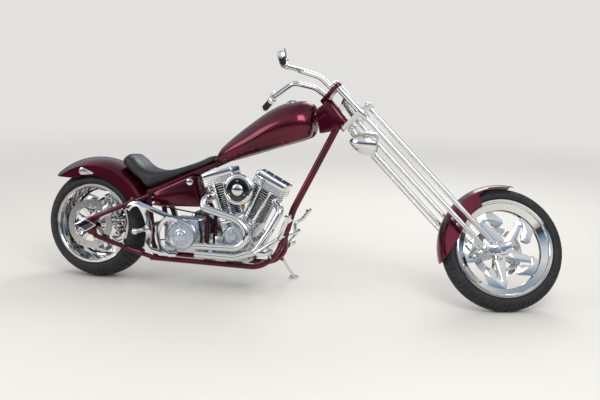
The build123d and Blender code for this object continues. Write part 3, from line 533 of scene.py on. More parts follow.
def new_finish(finish, name, base, metallic, roughness, **extra):
    """A principled material under a finish, with its constants set on the shader's own sockets."""
    material = bpy.data.materials.new(name)
    material.use_nodes = True
    tree = material.node_tree
    shader = tree.nodes["Principled BSDF"]
    constants = {"Base Color": colour(base), "Metallic": metallic, "Roughness": roughness, **extra}
    for socket, value in constants.items():
        shader.inputs[socket.replace("_", " ")].default_value = value
    finishes[finish] = material
    return tree, shader


def blotches(tree, size_mm, detail, roughness=0.5):
    """A cloudy pattern whose blotches have a real size, on object coordinates."""
    where = add_node(tree, "ShaderNodeTexCoord")
    pattern = add_node(
        tree, "ShaderNodeTexNoise", [(where.outputs["Object"], "Vector")],
        Scale=1000.0 / size_mm, Detail=detail, Roughness=roughness,
    )
    return pattern.outputs["Fac"]


def scuffed(tree, shader, pattern, low, high):
    """Lets the roughness wander between two values by a pattern."""
    wander = add_node(
        tree, "ShaderNodeMapRange", [(pattern, "Value")],
        From_Min=0.3, From_Max=0.7, To_Min=low, To_Max=high,
    )
    tree.links.new(wander.outputs["Result"], shader.inputs["Roughness"])


def embossed(tree, shader, pattern, depth_mm):
    """Presses a pattern into the surface to a real depth."""
    relief = add_node(tree, "ShaderNodeBump", [(pattern, "Height")], Distance=depth_mm * MM, Strength=1.0)
    tree.links.new(relief.outputs["Normal"], shader.inputs["Normal"])


def tinted(tree, shader, pattern, low, high):
    """Colours a surface between two hex values by a pattern."""
    ramp = add_node(tree, "ShaderNodeValToRGB", [(pattern, "Fac")])
    for element, position, code in zip(ramp.color_ramp.elements, (0.35, 0.65), (low, high)):
        element.position = position
        element.color = colour(code)
    tree.links.new(ramp.outputs["Color"], shader.inputs["Base Color"])


def make_metals():
    """Bare and plated metals."""
    # Chromium plate on polished steel: mirror bright, with faint smears from wiping
    tree, shader = new_finish("chrome", "chrome_plate_polished", "#DDDCDA", 1.0, 0.05)
    scuffed(tree, shader, blotches(tree, 35.0, 4.0), 0.03, 0.09)

    # Black chrome plate: a dark mirror
    tree, shader = new_finish("smoked", "black_chrome_plate", "#4A4F55", 1.0, 0.08)
    scuffed(tree, shader, blotches(tree, 25.0, 3.0), 0.05, 0.14)

    # Aluminium castings buffed by hand: bright but soft, with a slight ripple
    tree, shader = new_finish("alloy", "aluminium_casting_buffed", "#C6C9CD", 1.0, 0.22)
    scuffed(tree, shader, blotches(tree, 18.0, 5.0), 0.15, 0.32)
    embossed(tree, shader, blotches(tree, 6.0, 3.0), 0.08)

    # Aluminium covers turned and bead-blasted: a pale satin without sharp reflections.
    # The beads' dimples, about 0.1 mm, are drawn coarser so that they show
    tree, shader = new_finish("satin", "aluminium_cover_blasted", "#CDD2D9", 1.0, 0.3)
    scuffed(tree, shader, blotches(tree, 12.0, 4.0), 0.25, 0.36)
    embossed(tree, shader, blotches(tree, 1.6, 3.0), 0.04)

    # Stainless brake disc ground and then polished: nearly a mirror, a little scuffed by the pads
    tree, shader = new_finish("rotor", "stainless_disc_polished", "#BDBCBA", 1.0, 0.1)
    scuffed(tree, shader, blotches(tree, 9.0, 6.0, 0.7), 0.07, 0.16)

    # Stainless wire braid over a hose: a fine silvery weave, drawn coarser than its 0.2 mm wires
    tree, shader = new_finish("braid", "stainless_braid_woven", "#A6A8AB", 1.0, 0.35)
    tinted(tree, shader, blotches(tree, 1.4, 1.0), "#7E8083", "#C3C5C8")
    embossed(tree, shader, blotches(tree, 1.1, 1.0), 0.25)

    # Brass carburettor fitting, cast and tumbled: warm yellow metal
    tree, shader = new_finish("brass", "brass_casting_tumbled", "#B98A3C", 1.0, 0.34)
    tinted(tree, shader, blotches(tree, 8.0, 4.0), "#A87B33", "#C99B4C")
    embossed(tree, shader, blotches(tree, 2.0, 3.0), 0.1)


def make_paints(paint):
    """Candy lacquer, stove enamel and lamp glass."""
    # Candy lacquer sprayed over silver flake, wet-sanded and cleared: deep red with a glassy coat.
    # The flake, about 0.1 mm, is drawn coarser so that it shows
    tree, shader = new_finish(
        "candy", "candy_lacquer_sprayed", paint, 0.85, 0.25, Coat_Weight=0.5, Coat_Roughness=0.02
    )
    scuffed(tree, shader, blotches(tree, 0.9, 1.0), 0.17, 0.32)
    tinted(tree, shader, blotches(tree, 140.0, 2.0), paint, "#470418")

    # Black stove enamel: deep gloss with an orange-peel ripple
    tree, shader = new_finish("enamel", "enamel_black_stoved", "#0A0C0C", 0.0, 0.12, Coat_Weight=0.6)
    embossed(tree, shader, blotches(tree, 5.0, 2.0), 0.03)

    # Lamp glass, pressed: clear, with slight flutes behind
    tree, shader = new_finish(
        "glass", "lamp_glass_pressed", "#F2F6FA", 0.0, 0.03, Transmission_Weight=0.9, IOR=1.5
    )
    embossed(tree, shader, blotches(tree, 9.0, 2.0), 0.3)


def make_rubbers(rubber):
    """Tyre, belt and grip rubber."""
    # Tyre rubber, moulded: near black, matt, dusty in patches
    tree, shader = new_finish("tyre", "tyre_rubber_moulded", rubber, 0.0, 0.7, Specular_IOR_Level=0.4)
    tinted(tree, shader, blotches(tree, 55.0, 6.0, 0.65), rubber, "#29282A")
    scuffed(tree, shader, blotches(tree, 20.0, 3.0), 0.6, 0.85)
    embossed(tree, shader, blotches(tree, 1.5, 4.0), 0.2)

    # Toothed belt, cord-filled rubber: black and dull
    tree, shader = new_finish("belt", "belt_rubber_ribbed", "#161618", 0.0, 0.65)
    embossed(tree, shader, blotches(tree, 2.0, 3.0), 0.15)

    # Grip rubber, moulded and handled: soft black with a worn sheen
    tree, shader = new_finish("grip", "grip_rubber_moulded", "#141416", 0.0, 0.5)
    scuffed(tree, shader, blotches(tree, 14.0, 3.0), 0.38, 0.62)
    embossed(tree, shader, blotches(tree, 1.0, 2.0), 0.12)


def make_leather(leather):
    """The seat's cover."""
    # Cowhide, dyed and waxed: fine pebble grain with a low sheen, drawn coarse enough to show
    tree, shader = new_finish("leather", "cowhide_dyed_waxed", leather, 0.0, 0.42, Specular_IOR_Level=0.55)
    pebble_mm = 3.2
    where = add_node(tree, "ShaderNodeTexCoord")
    cells = add_node(
        tree, "ShaderNodeTexVoronoi", [(where.outputs["Object"], "Vector")], Scale=1000.0 / pebble_mm
    )
    creases = blotches(tree, 12.0, 4.0)
    grain = add_node(
        tree, "ShaderNodeMath", [(cells.outputs["Distance"], 0), (creases, 1)], operation="ADD"
    )
    embossed(tree, shader, grain.outputs[0], 0.35)
    tinted(tree, shader, blotches(tree, 60.0, 3.0), leather, "#17171A")
    scuffed(tree, shader, blotches(tree, 40.0, 3.0), 0.36, 0.52)


# Wheels
TYRES = (
    # name, radius, width, crown radius, pitches round the tread
    ("front_tyre", 349.5, 124.0, 62.0, 72),
    ("rear_tyre", 330.0, 250.0, 157.0, 60),
)
RIMS = (
    # name, lip radius, width, well depth, hub radius, hub length, turn in degrees
    ("front_rim", 280.0, 108.0, 34.0, 38.0, 130.0, -16.0),
    ("rear_rim", 241.0, 230.0, 20.0, 46.0, 236.0, 0.0),
)
SPOKE = (
    # share of the reach, side
    (0.10, -38.0), (0.28, -42.0), (0.62, -20.0), (0.77, -9.0), (0.80, -15.0), (0.80, -25.0),
    (0.77, -31.0), (0.63, -34.0), (0.49, -56.0), (0.52, -94.0), (0.60, -103.0), (0.66, -96.0),
    (0.97, -72.0), (1.00, 20.0), (0.83, 27.0), (0.77, 31.0), (0.74, 22.0), (0.10, 20.0),
)
SPOKE_COUNT = 5

# A tread groove: its share of a pitch, its span across the tyre and how far it slants
GROOVE_BAND = (0.30, 0.50)
GROOVE_SPAN = (0.25, 0.9)
GROOVE_SLANT = 0.9


def build_tyre(name, radius, width, crown, pitches, lip, rim_width, depth, body):
    """A tyre whose tread grooves are cut into one pitch and then repeated round it."""
    half = width / 2
    flange = rim_width / 2 - RIM_FLANGE - BEAD_GAP
    bead = lip - RIM_LIP + BEAD_GAP
    shoulder_y = half - 8
    shoulder = radius - crown + sqrt(crown**2 - shoulder_y**2)
    bulge = (lip + shoulder) / 2
    foot = [(bead, flange), (lip + 1, flange + 0.5)]
    wall = arc((lip + 3, flange + 1.5), (bulge, half), (shoulder, shoulder_y), 8)
    tread = arc((shoulder, shoulder_y), (radius, 0), (shoulder, -shoulder_y), 22)
    profile = foot + wall + tread[1:-1] + [(r, -y) for r, y in reversed(foot + wall)]
    bm = bmesh.new()
    verts = [bm.verts.new((r, y, 0)) for r, y in profile]
    edges = [bm.edges.new(pair) for pair in zip(verts, verts[1:] + verts[:1])]
    pitch = 2 * pi / pitches
    bmesh.ops.spin(bm, geom=verts + edges, cent=(0, 0, 0), axis=(0, 1, 0), angle=pitch, steps=6)
    grooves = []
    for face in bm.faces:
        x, y, z = face.calc_center_median()
        around = abs(Vector((1, 0)).angle_signed(Vector((x, z)))) / pitch
        reach = abs(y) / half
        in_span = GROOVE_SPAN[0] < reach < GROOVE_SPAN[1] and Vector((x, z)).length > shoulder - 12
        if in_span and GROOVE_BAND[0] < (around + reach * GROOVE_SLANT) % 1.0 < GROOVE_BAND[1]:
            grooves.append(face)
    bmesh.ops.inset_region(bm, faces=grooves, thickness=0.5, depth=-depth, use_even_offset=True)
    bmesh.ops.spin(
        bm,
        geom=bm.verts[:] + bm.edges[:] + bm.faces[:],
        cent=(0, 0, 0),
        axis=(0, 1, 0),
        angle=pitch * (pitches - 1),
        steps=pitches - 1,
        use_duplicate=True,
    )
    bmesh.ops.remove_doubles(bm, verts=bm.verts, dist=0.05)
    bmesh.ops.recalc_face_normals(bm, faces=bm.faces)
    piece(name + "_treaded", bm, "tyre", name, body=body, limit=30)


def build_rim(name, lip, width, depth, hub, hub_length, turn, edge, body):
    """A rim's barrel, and its cast spokes with the hub."""
    half = width / 2
    flange = half - RIM_FLANGE
    seat = lip - RIM_LIP
    well = seat - depth
    outer = [
        (lip - 1, half), (lip, half - 1.5), (lip, flange + 0.3),
        (seat, flange), (seat, flange * 0.55), (well, flange * 0.4),
    ]
    inner = [
        (seat, half), (seat - 3, half - 2), (seat - 7, half - 9),
        (seat - 7, flange * 0.55), (well - 7, flange * 0.4),
    ]
    bm = bmesh.new()
    turned(bm, there_and_back(outer) + [(r, -y) for r, y in reversed(inner)] + inner, steps=128)
    piece(name + "_barrel", bm, "chrome", name, body=body, limit=28)
    bm = bmesh.new()
    reach = well - 3
    outline = [(share * reach, side) for share, side in SPOKE]
    for spin in round_turns(SPOKE_COUNT, radians(turn)):
        cut_plate(bm, outline, -13, 13, spin, corner=5, soft=edge * 2.2, segments=4)
    end = hub_length / 2
    bore = AXLE_RADIUS + AXLE_GAP
    turned(bm, there_and_back([(bore, -end), (hub - 2, -end), (hub, 3 - end), (hub, -22), (hub + 10, -16)]))
    for way in (-1, 1):
        bolt_ring(bm, SPOKE_COUNT, hub - 8, way * end, way, 4, lead=radians(turn) + pi / SPOKE_COUNT)
    piece(name + "_spokes", bm, "chrome", body=body, limit=30)


def build_rotor(name, y, hub_y, body):
    """A drilled brake disc on its carrier."""
    bm = bmesh.new()
    turned(bm, [(104, y - 2.5), (146, y - 2.5), (146, y + 2.5), (104, y + 2.5)], steps=96)
    holes = bmesh.new()
    for index, spin in enumerate(round_turns(24)):
        radius = (114, 125, 136)[index % 3]
        bar(holes, (radius, y - 6, 0), (radius, y + 6, 0), 4.2, sides=12, place=spin)
    carve(bm, holes)
    piece(name + "_disc", bm, "rotor", name, body=body, limit=30)
    bm = bmesh.new()
    arm = [(44, -16), (84, -8), (110, -10), (112, 10), (84, 8), (44, 16)]
    for spin in round_turns(5):
        cut_plate(bm, arm, y - 2, y + 2, spin, corner=3, soft=0.8)
    for way in (-1, 1):
        bolt_ring(bm, 5, 105, y + way * 2, way, 6)
    low, high = sorted((hub_y, y))
    turned(bm, [(12, low), (50, low), (50, high - 1), (48, high + 2.5), (12, high + 2.5)])
    piece(name + "_carrier", bm, "chrome", body=body, limit=30)


def build_rear_pulley():
    """The toothed pulley beside the rear wheel, with its row of lightening holes."""
    bm = bmesh.new()
    profile = [
        (40, 130.5), (52, 118.2), (52, 128), (136, 130.5), (145, 131), (145, 150),
        (136, 150.5), (120, 146), (60, 146), (52, 150.5), (40, 150.5),
    ]
    turned(bm, profile, steps=96)
    holes = bmesh.new()
    for spin in round_turns(10):
        bar(holes, (92, 120, 0), (92, 160, 0), 14, sides=24, place=spin)
    carve(bm, holes)
    piece("rear_pulley_machined", bm, "chrome", "rear_pulley", body="rear_wheel", limit=30)


class BuildWheels(bpy.types.Operator):
    """Models the tyres, rims, brake rotors and belt pulley"""

    bl_idname = "chopper.build_wheels"
    bl_label = "Build wheels"

    def execute(self, context):
        sizes = context.scene.chopper_sizes
        bodies = ("front_wheel", "rear_wheel")
        for tyre, rim, body in zip(TYRES, RIMS, bodies):
            build_tyre(*tyre, *rim[1:3], sizes.groove_depth, body)
        for rim, body in zip(RIMS, bodies):
            build_rim(*rim, sizes.edge, body)
        build_rotor("front_rotor", 84.0, 65.2, "front_wheel")
        build_rotor("rear_rotor", -143.0, -118.2, "rear_wheel")
        build_rear_pulley()
        return {"FINISHED"}


# Frame
class BuildFrame(bpy.types.Operator):
    """Models the frame's tubes, plates, axle covers and side stand"""

    bl_idname = "chopper.build_frame"
    bl_label = "Build frame"

    def execute(self, context):
        self.build_backbone()
        self.build_lower_rails()
        self.build_rear()
        self.build_neck()
        self.build_axle_covers()
        dressed_copy("side_stand_forged", "side_stand", "chrome", body="side_stand")
        return {"FINISHED"}

    def build_backbone(self):
        """The backbone with the seat rails, and the downtube."""
        (post_x, post_z), (joint_x, joint_z) = SEAT_RAIL
        bm = bmesh.new()
        bar(bm, (738, 0, 728), (1438, 0, 1067), 22)
        for side in (-1, 1):
            bar(bm, (joint_x, 12 * side, joint_z), (post_x, SEAT_RAIL_HALF * side, post_z), TUBE)
        piece("backbone_welded", bm, "candy", "frame_backbone")
        bm = bmesh.new()
        bent_bar(bm, [(1485, 0, 1010), (1232, 0, 493), (1186, 0, 322)], 320, 20, 40)
        piece("downtube_bent", bm, "candy", "frame_downtubes")

    def build_lower_rails(self):
        """The lower rails with the uprights, the cross tubes and the side stand's bracket."""
        bm = bmesh.new()
        for side in (-1, 1):
            y = RAIL_HALF * side
            rise = [(1190, 4 * side, 352), (1172, 80 * side, 236)]
            bent_bar(bm, rise + [(1085, y, RAIL_HEIGHT), (392, y, RAIL_HEIGHT)], (120, 150), TUBE, 32)
            y = 65 * side
            bent_bar(bm, [(727, y, RAIL_HEIGHT), (727, y, 420), (690, y, 488)], 40, 13, 24)
        for x in (470, 727, 1040):
            bar(bm, (x, -RAIL_HALF, RAIL_HEIGHT), (x, RAIL_HALF, RAIL_HEIGHT), TIE)
        hinge = [STAND_PIVOT + STAND_AXIS * reach for reach in (-17, -8.3, 8.3, 28, 30)]
        bar(bm, (1128, 95, 211), hinge[3], 7, 9, sides=20)
        bar(bm, hinge[2], hinge[4], 11.5, soft=1.5)
        bar(bm, hinge[1], hinge[3], 6)
        bar(bm, hinge[0], hinge[1], 11, sides=6, soft=1)
        piece("lower_rails_bent", bm, "candy", "frame_lower_rails")

    def build_rear(self):
        """The seat posts, and the rear stays with the axle plates."""
        post_x, post_z = SEAT_RAIL[0]
        bm = bmesh.new()
        for side in (-1, 1):
            bar(bm, (post_x, SEAT_RAIL_HALF * side, post_z), (425, RAIL_HALF * side, RAIL_HEIGHT), TUBE)
        bar(bm, (388, -103, 350), (388, 103, 350), TIE)
        piece("seat_posts_welded", bm, "candy", "frame_seat_posts")
        bm = bmesh.new()
        for side in (-1, 1):
            upper = [(50, 176 * side, 381), (300, 170 * side, 493), (362, 104 * side, 527)]
            lower = [(48, 176 * side, 269), (262, 172 * side, 210), (396, 111 * side, 161)]
            bent_bar(bm, upper, 60, TIE, 28)
            bent_bar(bm, lower, 80, TIE, 28)
        plate = [
            (-62, 318), (-20, 352), (10, 378), (60, 392), (66, 366),
            (48, 331), (62, 286), (56, 262), (10, 276),
        ]
        side_plates(bm, plate, 170, 182, corner=4, soft=1.5)
        piece("rear_stays_bent", bm, "candy", "rear_stays")

    def build_neck(self):
        """The neck, and the panels welded into its side windows."""
        dressed_copy("neck_gusseted", "frame_neck", "candy")
        bm = bmesh.new()
        side_plates(bm, [(1370, 1021), (1408, 1053), (1461, 1010), (1441, 984), (1376, 966)], 22.5, 26)
        piece("neck_panels_welded", bm, "candy")

    def build_axle_covers(self):
        """The rear axle, and the diamond cover on each end of it."""
        bm = bmesh.new()
        side_plates(bm, [(-84, 326), (-10, 366), (62, 331), (-8, 287)], 182.1, 188, corner=3, soft=1.5)
        bar(bm, (0, -184, REAR_AXLE_HEIGHT), (0, 184, REAR_AXLE_HEIGHT), AXLE_RADIUS)
        piece("axle_cover_rims", bm, "chrome", "rear_axle")
        bm = bmesh.new()
        side_plates(bm, [(-72, 326.5), (-10, 359), (51, 330.5), (-8, 294)], 187, 191, corner=2, soft=1.5)
        piece("axle_cover_faces", bm, "smoked")


# Tank, seat and fenders
TANK = (
    # x, bottom, crease, ridge, half width at bottom, at bulge, at crease
    (765.0, 740.0, 788.0, 806.0, 36.0, 50.0, 36.0),
    (800.0, 742.0, 828.0, 848.0, 45.0, 72.0, 52.0),
    (950.0, 790.0, 925.0, 974.0, 62.0, 105.0, 80.0),
    (1120.0, 848.0, 1032.0, 1090.0, 75.0, 128.0, 100.0),
    (1260.0, 893.0, 1068.0, 1124.0, 75.0, 130.0, 105.0),
    (1340.0, 925.0, 1048.0, 1108.0, 60.0, 95.0, 75.0),
)
NOSE = 24.0


def tunnel_roof(x):
    """Height of the tunnel's roof over the backbone, at a place along the bike."""
    (rear_x, rear_z), (front_x, front_z) = BACKBONE
    return rear_z + (x - rear_x) * (front_z - rear_z) / (front_x - rear_x) + 27.5


def tank_ring(x):
    """The fuel tank's section, drawn in towards its front end, with the tunnel in its underside."""
    bottom, crease, ridge, *halves = spread(TANK, x)
    inset = NOSE - sqrt(NOSE**2 - max(x - TANK[-1][0] + NOSE, 0) ** 2)
    bottom += inset
    crease -= inset * 0.4
    ridge -= inset
    half_bottom, half_bulge, half_crease = [half - inset for half in halves]
    middle = bottom + 0.55 * (crease - bottom)
    roof = min(tunnel_roof(x), ridge - 12)
    right = arc((half_bottom, bottom), (half_bulge, middle), (half_crease, crease), 10)
    over = arc((half_crease, crease), (0, ridge), (-half_crease, crease), 12)
    left = [(-y, z) for y, z in reversed(right)]
    tunnel = [(-TUNNEL_HALF, bottom), (-TUNNEL_HALF, roof), (TUNNEL_HALF, roof), (TUNNEL_HALF, bottom)]
    return [(x, y, z) for y, z in right + over[1:-1] + left + tunnel]


class BuildTank(bpy.types.Operator):
    """Models the fuel tank with its cap and the oil tank"""

    bl_idname = "chopper.build_tank"
    bl_label = "Build tanks"

    def execute(self, context):
        self.build_fuel_tank()
        self.build_cap()
        self.build_oil_tank()
        return {"FINISHED"}

    def build_fuel_tank(self):
        """The tank's skin, rounded at the front and along its rear rim."""
        bm = bmesh.new()
        rear, front = TANK[0][0], TANK[-1][0] - NOSE
        stations = [rear + (front - rear) * index / 24 for index in range(25)]
        stations += [front + NOSE * sin(radians(angle)) for angle in (18, 36, 54, 72, 90)]
        bridge_rings(bm, [tank_ring(x) for x in stations])
        rims = []
        for edge in flat_edges(bm, radians(25)):
            spots = [vert.co for vert in edge.verts]
            outside_tunnel = max(abs(spot.y) for spot in spots) > TUNNEL_HALF + 1
            if outside_tunnel and all(abs(spot.x - rear) < 0.1 for spot in spots):
                rims.append(edge)
        soften(bm, rims, 12, 5)
        block(bm, (1334.4, 0, 970), (11, 2 * TUNNEL_HALF + 0.2, 40))
        piece("fuel_tank_pressed", bm, "candy", "fuel_tank", limit=40)

    def build_cap(self):
        """The knurled filler cap, square to the tank's top."""
        bm = bmesh.new()
        tilt = Matrix.Rotation(radians(-14), 4, "Y") @ Matrix.Rotation(radians(90), 4, "X")
        cap = Matrix.Translation((1197, 0, 1102)) @ tilt
        profile = [(0, -20), (28, -20), (28, 8), (27, 9), (25, 10), (25, 20), (22, 23), (10, 25), (0, 25)]
        turned(bm, profile, cap, 48, False)
        for spin in round_turns(24):
            bar(bm, (25, 11, 0), (25, 19, 0), 1.4, sides=8, place=cap @ spin)
        piece("tank_cap_knurled", bm, "chrome", "tank_cap")

    def build_oil_tank(self):
        """The oil tank, whose top follows the seat rails, and its cap."""
        (post_x, post_z), (joint_x, joint_z) = SEAT_RAIL
        slope = (joint_z - post_z) / (joint_x - post_x)
        top = [(x, post_z + (x - post_x) * slope - 16.1) for x in (640, 380)]
        bm = bmesh.new()
        cut_plate(bm, [(396, 464), (698, 478), (652, 598)] + top, -96, 96, corner=20, soft=9, segments=6)
        piece("oil_tank_welded", bm, "candy", "oil_tank")
        bm = bmesh.new()
        bar(bm, (622, -95, 622), (622, -110, 622), 20, soft=3)
        piece("oil_tank_cap", bm, "chrome")


def hoop(edge, shoulder, crown, half):
    """A mudguard's section: a straight side, a crowned top and a straight side."""
    return [(edge, half)] + arc((shoulder, half), (crown, 0), (shoulder, -half), 24) + [(edge, -half)]


def fender(bm, crown, edge, half, shoulder, start, sweep):
    """A mudguard shell turned about the axle, from a start angle over a sweep in degrees."""
    inside = hoop(edge, shoulder - FENDER_WALL * 0.6, crown - FENDER_WALL, half - FENDER_WALL)
    part = bmesh.new()
    verts = [part.verts.new((r, y, 0)) for r, y in hoop(edge, shoulder, crown, half) + inside[::-1]]
    face = part.faces.new(verts)
    geom = [face] + face.edges[:] + verts
    bmesh.ops.spin(part, geom=geom, cent=(0, 0, 0), axis=(0, 1, 0), angle=radians(sweep), steps=64)
    add_shape(bm, part, Matrix.Rotation(radians(-start - sweep), 4, "Y"))


def trim(bm, outline, corner):
    """Cuts an outline out of a mudguard, right across it."""
    cutter = bmesh.new()
    cut_plate(cutter, outline, -200, 200, corner=corner)
    carve(bm, cutter)


class BuildFenders(bpy.types.Operator):
    """Models both mudguards, their struts and the side lamps"""

    bl_idname = "chopper.build_fenders"
    bl_label = "Build fenders"

    def execute(self, context):
        self.build_rear_fender()
        self.build_lamps()
        self.build_front_fender()
        return {"FINISHED"}

    def build_rear_fender(self):
        """The rear mudguard, stepped at its tail, with its struts."""
        bm = bmesh.new()
        fender(bm, 402, 290, 140, 352, 31, 104)
        tail = [(-430, 660), (-270, 660), (-246, 604), (-90, 598), (-90, 480), (-430, 480)]
        trim(bm, [(x, z - REAR_AXLE_HEIGHT) for x, z in tail], 6)
        piece("rear_fender_rolled", bm, "candy", "rear_fender", place=REAR, limit=40)
        bm = bmesh.new()
        for side in (-1, 1):
            bar(bm, (270, 138.5 * side, 505), (277, 166 * side, 488), 7)
        piece("rear_fender_struts", bm, "chrome")

    def build_lamps(self):
        """The drop-shaped lamp on each side of the rear mudguard."""
        bm = bmesh.new()
        side_plates(bm, hull_outline([(-62, 646, 22), (6, 638, 6)], 24), 140.2, 150, soft=3)
        piece("side_lamp_shells", bm, "chrome", "side_lamps")
        bm = bmesh.new()
        side_plates(bm, hull_outline([(-62, 646, 17), (0, 639, 4)], 24), 149, 156, soft=3)
        piece("side_lamp_lenses", bm, "glass")

    def build_front_fender(self):
        """The front mudguard, trimmed at both ends, with the stays that hold it to the legs."""
        bm = bmesh.new()
        fender(bm, 372, 262, 80, 344, 44, 114)
        trim(bm, [(28, 245), (52, 322), (140, 325), (205, 285), (262, 236), (300, 180), (0, 150)], 10)
        rear = [
            (-120, 228), (-178, 204), (-232, 182), (-280, 162),
            (-330, 146), (-400, 80), (-240, 0), (-60, 150),
        ]
        trim(bm, rear, 10)
        piece("front_fender_rolled", bm, "candy", "front_fender", body="fork", place=FRONT, limit=40)
        bm = bmesh.new()
        for up, side in product((-872, -915), (-1, 1)):
            bar(bm, on_leg(up, 78 * side), on_leg(up, 140 * side), 5, sides=16)
            acorn(bm, on_leg(up, 82 * side), (0, side, 0), 7)
        piece("front_fender_stays", bm, "chrome", body="fork")


SEAT = (
    # x, bottom, top, width
    (184.0, 700.0, 742.0, 190.0),
    (216.0, 672.0, 766.0, 232.0),
    (250.0, 645.0, 741.0, 246.0),
    (300.0, 612.0, 696.0, 256.0),
    (352.0, 566.0, 677.0, 264.0),
    (410.0, 593.5, 671.0, 258.0),
    (490.0, 631.0, 682.0, 214.0),
    (570.0, 669.0, 708.0, 146.0),
    (660.0, 711.5, 744.0, 104.0),
    (736.0, 752.0, 786.0, 82.0),
)


def seat_ring(x):
    """The seat's section: a rounded cushion, squarer below than on top."""
    bottom, top, width = spread(SEAT, x)
    ring = []
    for index in range(32):
        angle = 2 * pi * index / 32
        power = 0.5 if sin(angle) < 0 else 0.62
        y = width / 2 * copysign(abs(cos(angle)) ** power, cos(angle))
        z = (top - bottom) / 2 * copysign(abs(sin(angle)) ** power, sin(angle))
        ring.append((x, y, (top + bottom) / 2 + z))
    return ring


def swell(obj, voxel_mm, pressure, cap_mm):
    """Remeshes a pad, blows it up slightly as cloth, and keeps each point near its start."""
    bpy.context.view_layer.objects.active = obj
    obj.select_set(True)
    remesh = obj.modifiers.new("remesh", "REMESH")
    remesh.mode = "VOXEL"
    remesh.voxel_size = voxel_mm * MM
    bpy.ops.object.modifier_apply(modifier="remesh")
    start = [vert.co.copy() for vert in obj.data.vertices]
    cloth = obj.modifiers.new("cloth", "CLOTH")
    cloth.settings.use_pressure = True
    cloth.settings.uniform_pressure_force = pressure
    cloth.settings.effector_weights.gravity = 0.0
    for step in range(1, 21):
        bpy.context.scene.frame_set(step)
    bpy.ops.object.modifier_apply(modifier="cloth")
    bpy.context.scene.frame_set(1)
    for vert, place in zip(obj.data.vertices, start):
        shift = vert.co - place
        if shift.length > cap_mm * MM:
            vert.co = place + shift * (cap_mm * MM / shift.length)
    obj.select_set(False)


class BuildSeat(bpy.types.Operator):
    """Models the leather seat"""

    bl_idname = "chopper.build_seat"
    bl_label = "Build seat"

    def execute(self, context):
        bm = bmesh.new()
        rear, front = SEAT[0][0], SEAT[-1][0]
        bridge_rings(bm, [seat_ring(rear + (front - rear) * index / 36) for index in range(37)])
        cutter = bmesh.new()
        bar(cutter, (0, -260, REAR_AXLE_HEIGHT), (0, 260, REAR_AXLE_HEIGHT), 405, sides=160)
        carve(bm, cutter)
        pad = piece("seat_upholstered", bm, "leather", "seat", limit=60)
        swell(pad, 5.0, 3.0, 4.0)
        for polygon in pad.data.polygons:
            polygon.use_smooth = True
        smooth = pad.modifiers.new("skin", "SUBSURF")
        smooth.levels = 1
        smooth.render_levels = 1
        return {"FINISHED"}


# Engine
def crank_place(angle):
    """The place of a cylinder, upright over the crank and then leaned by its angle."""
    return moved_to(CRANK) @ Matrix.Rotation(radians(angle), 4, "Y")


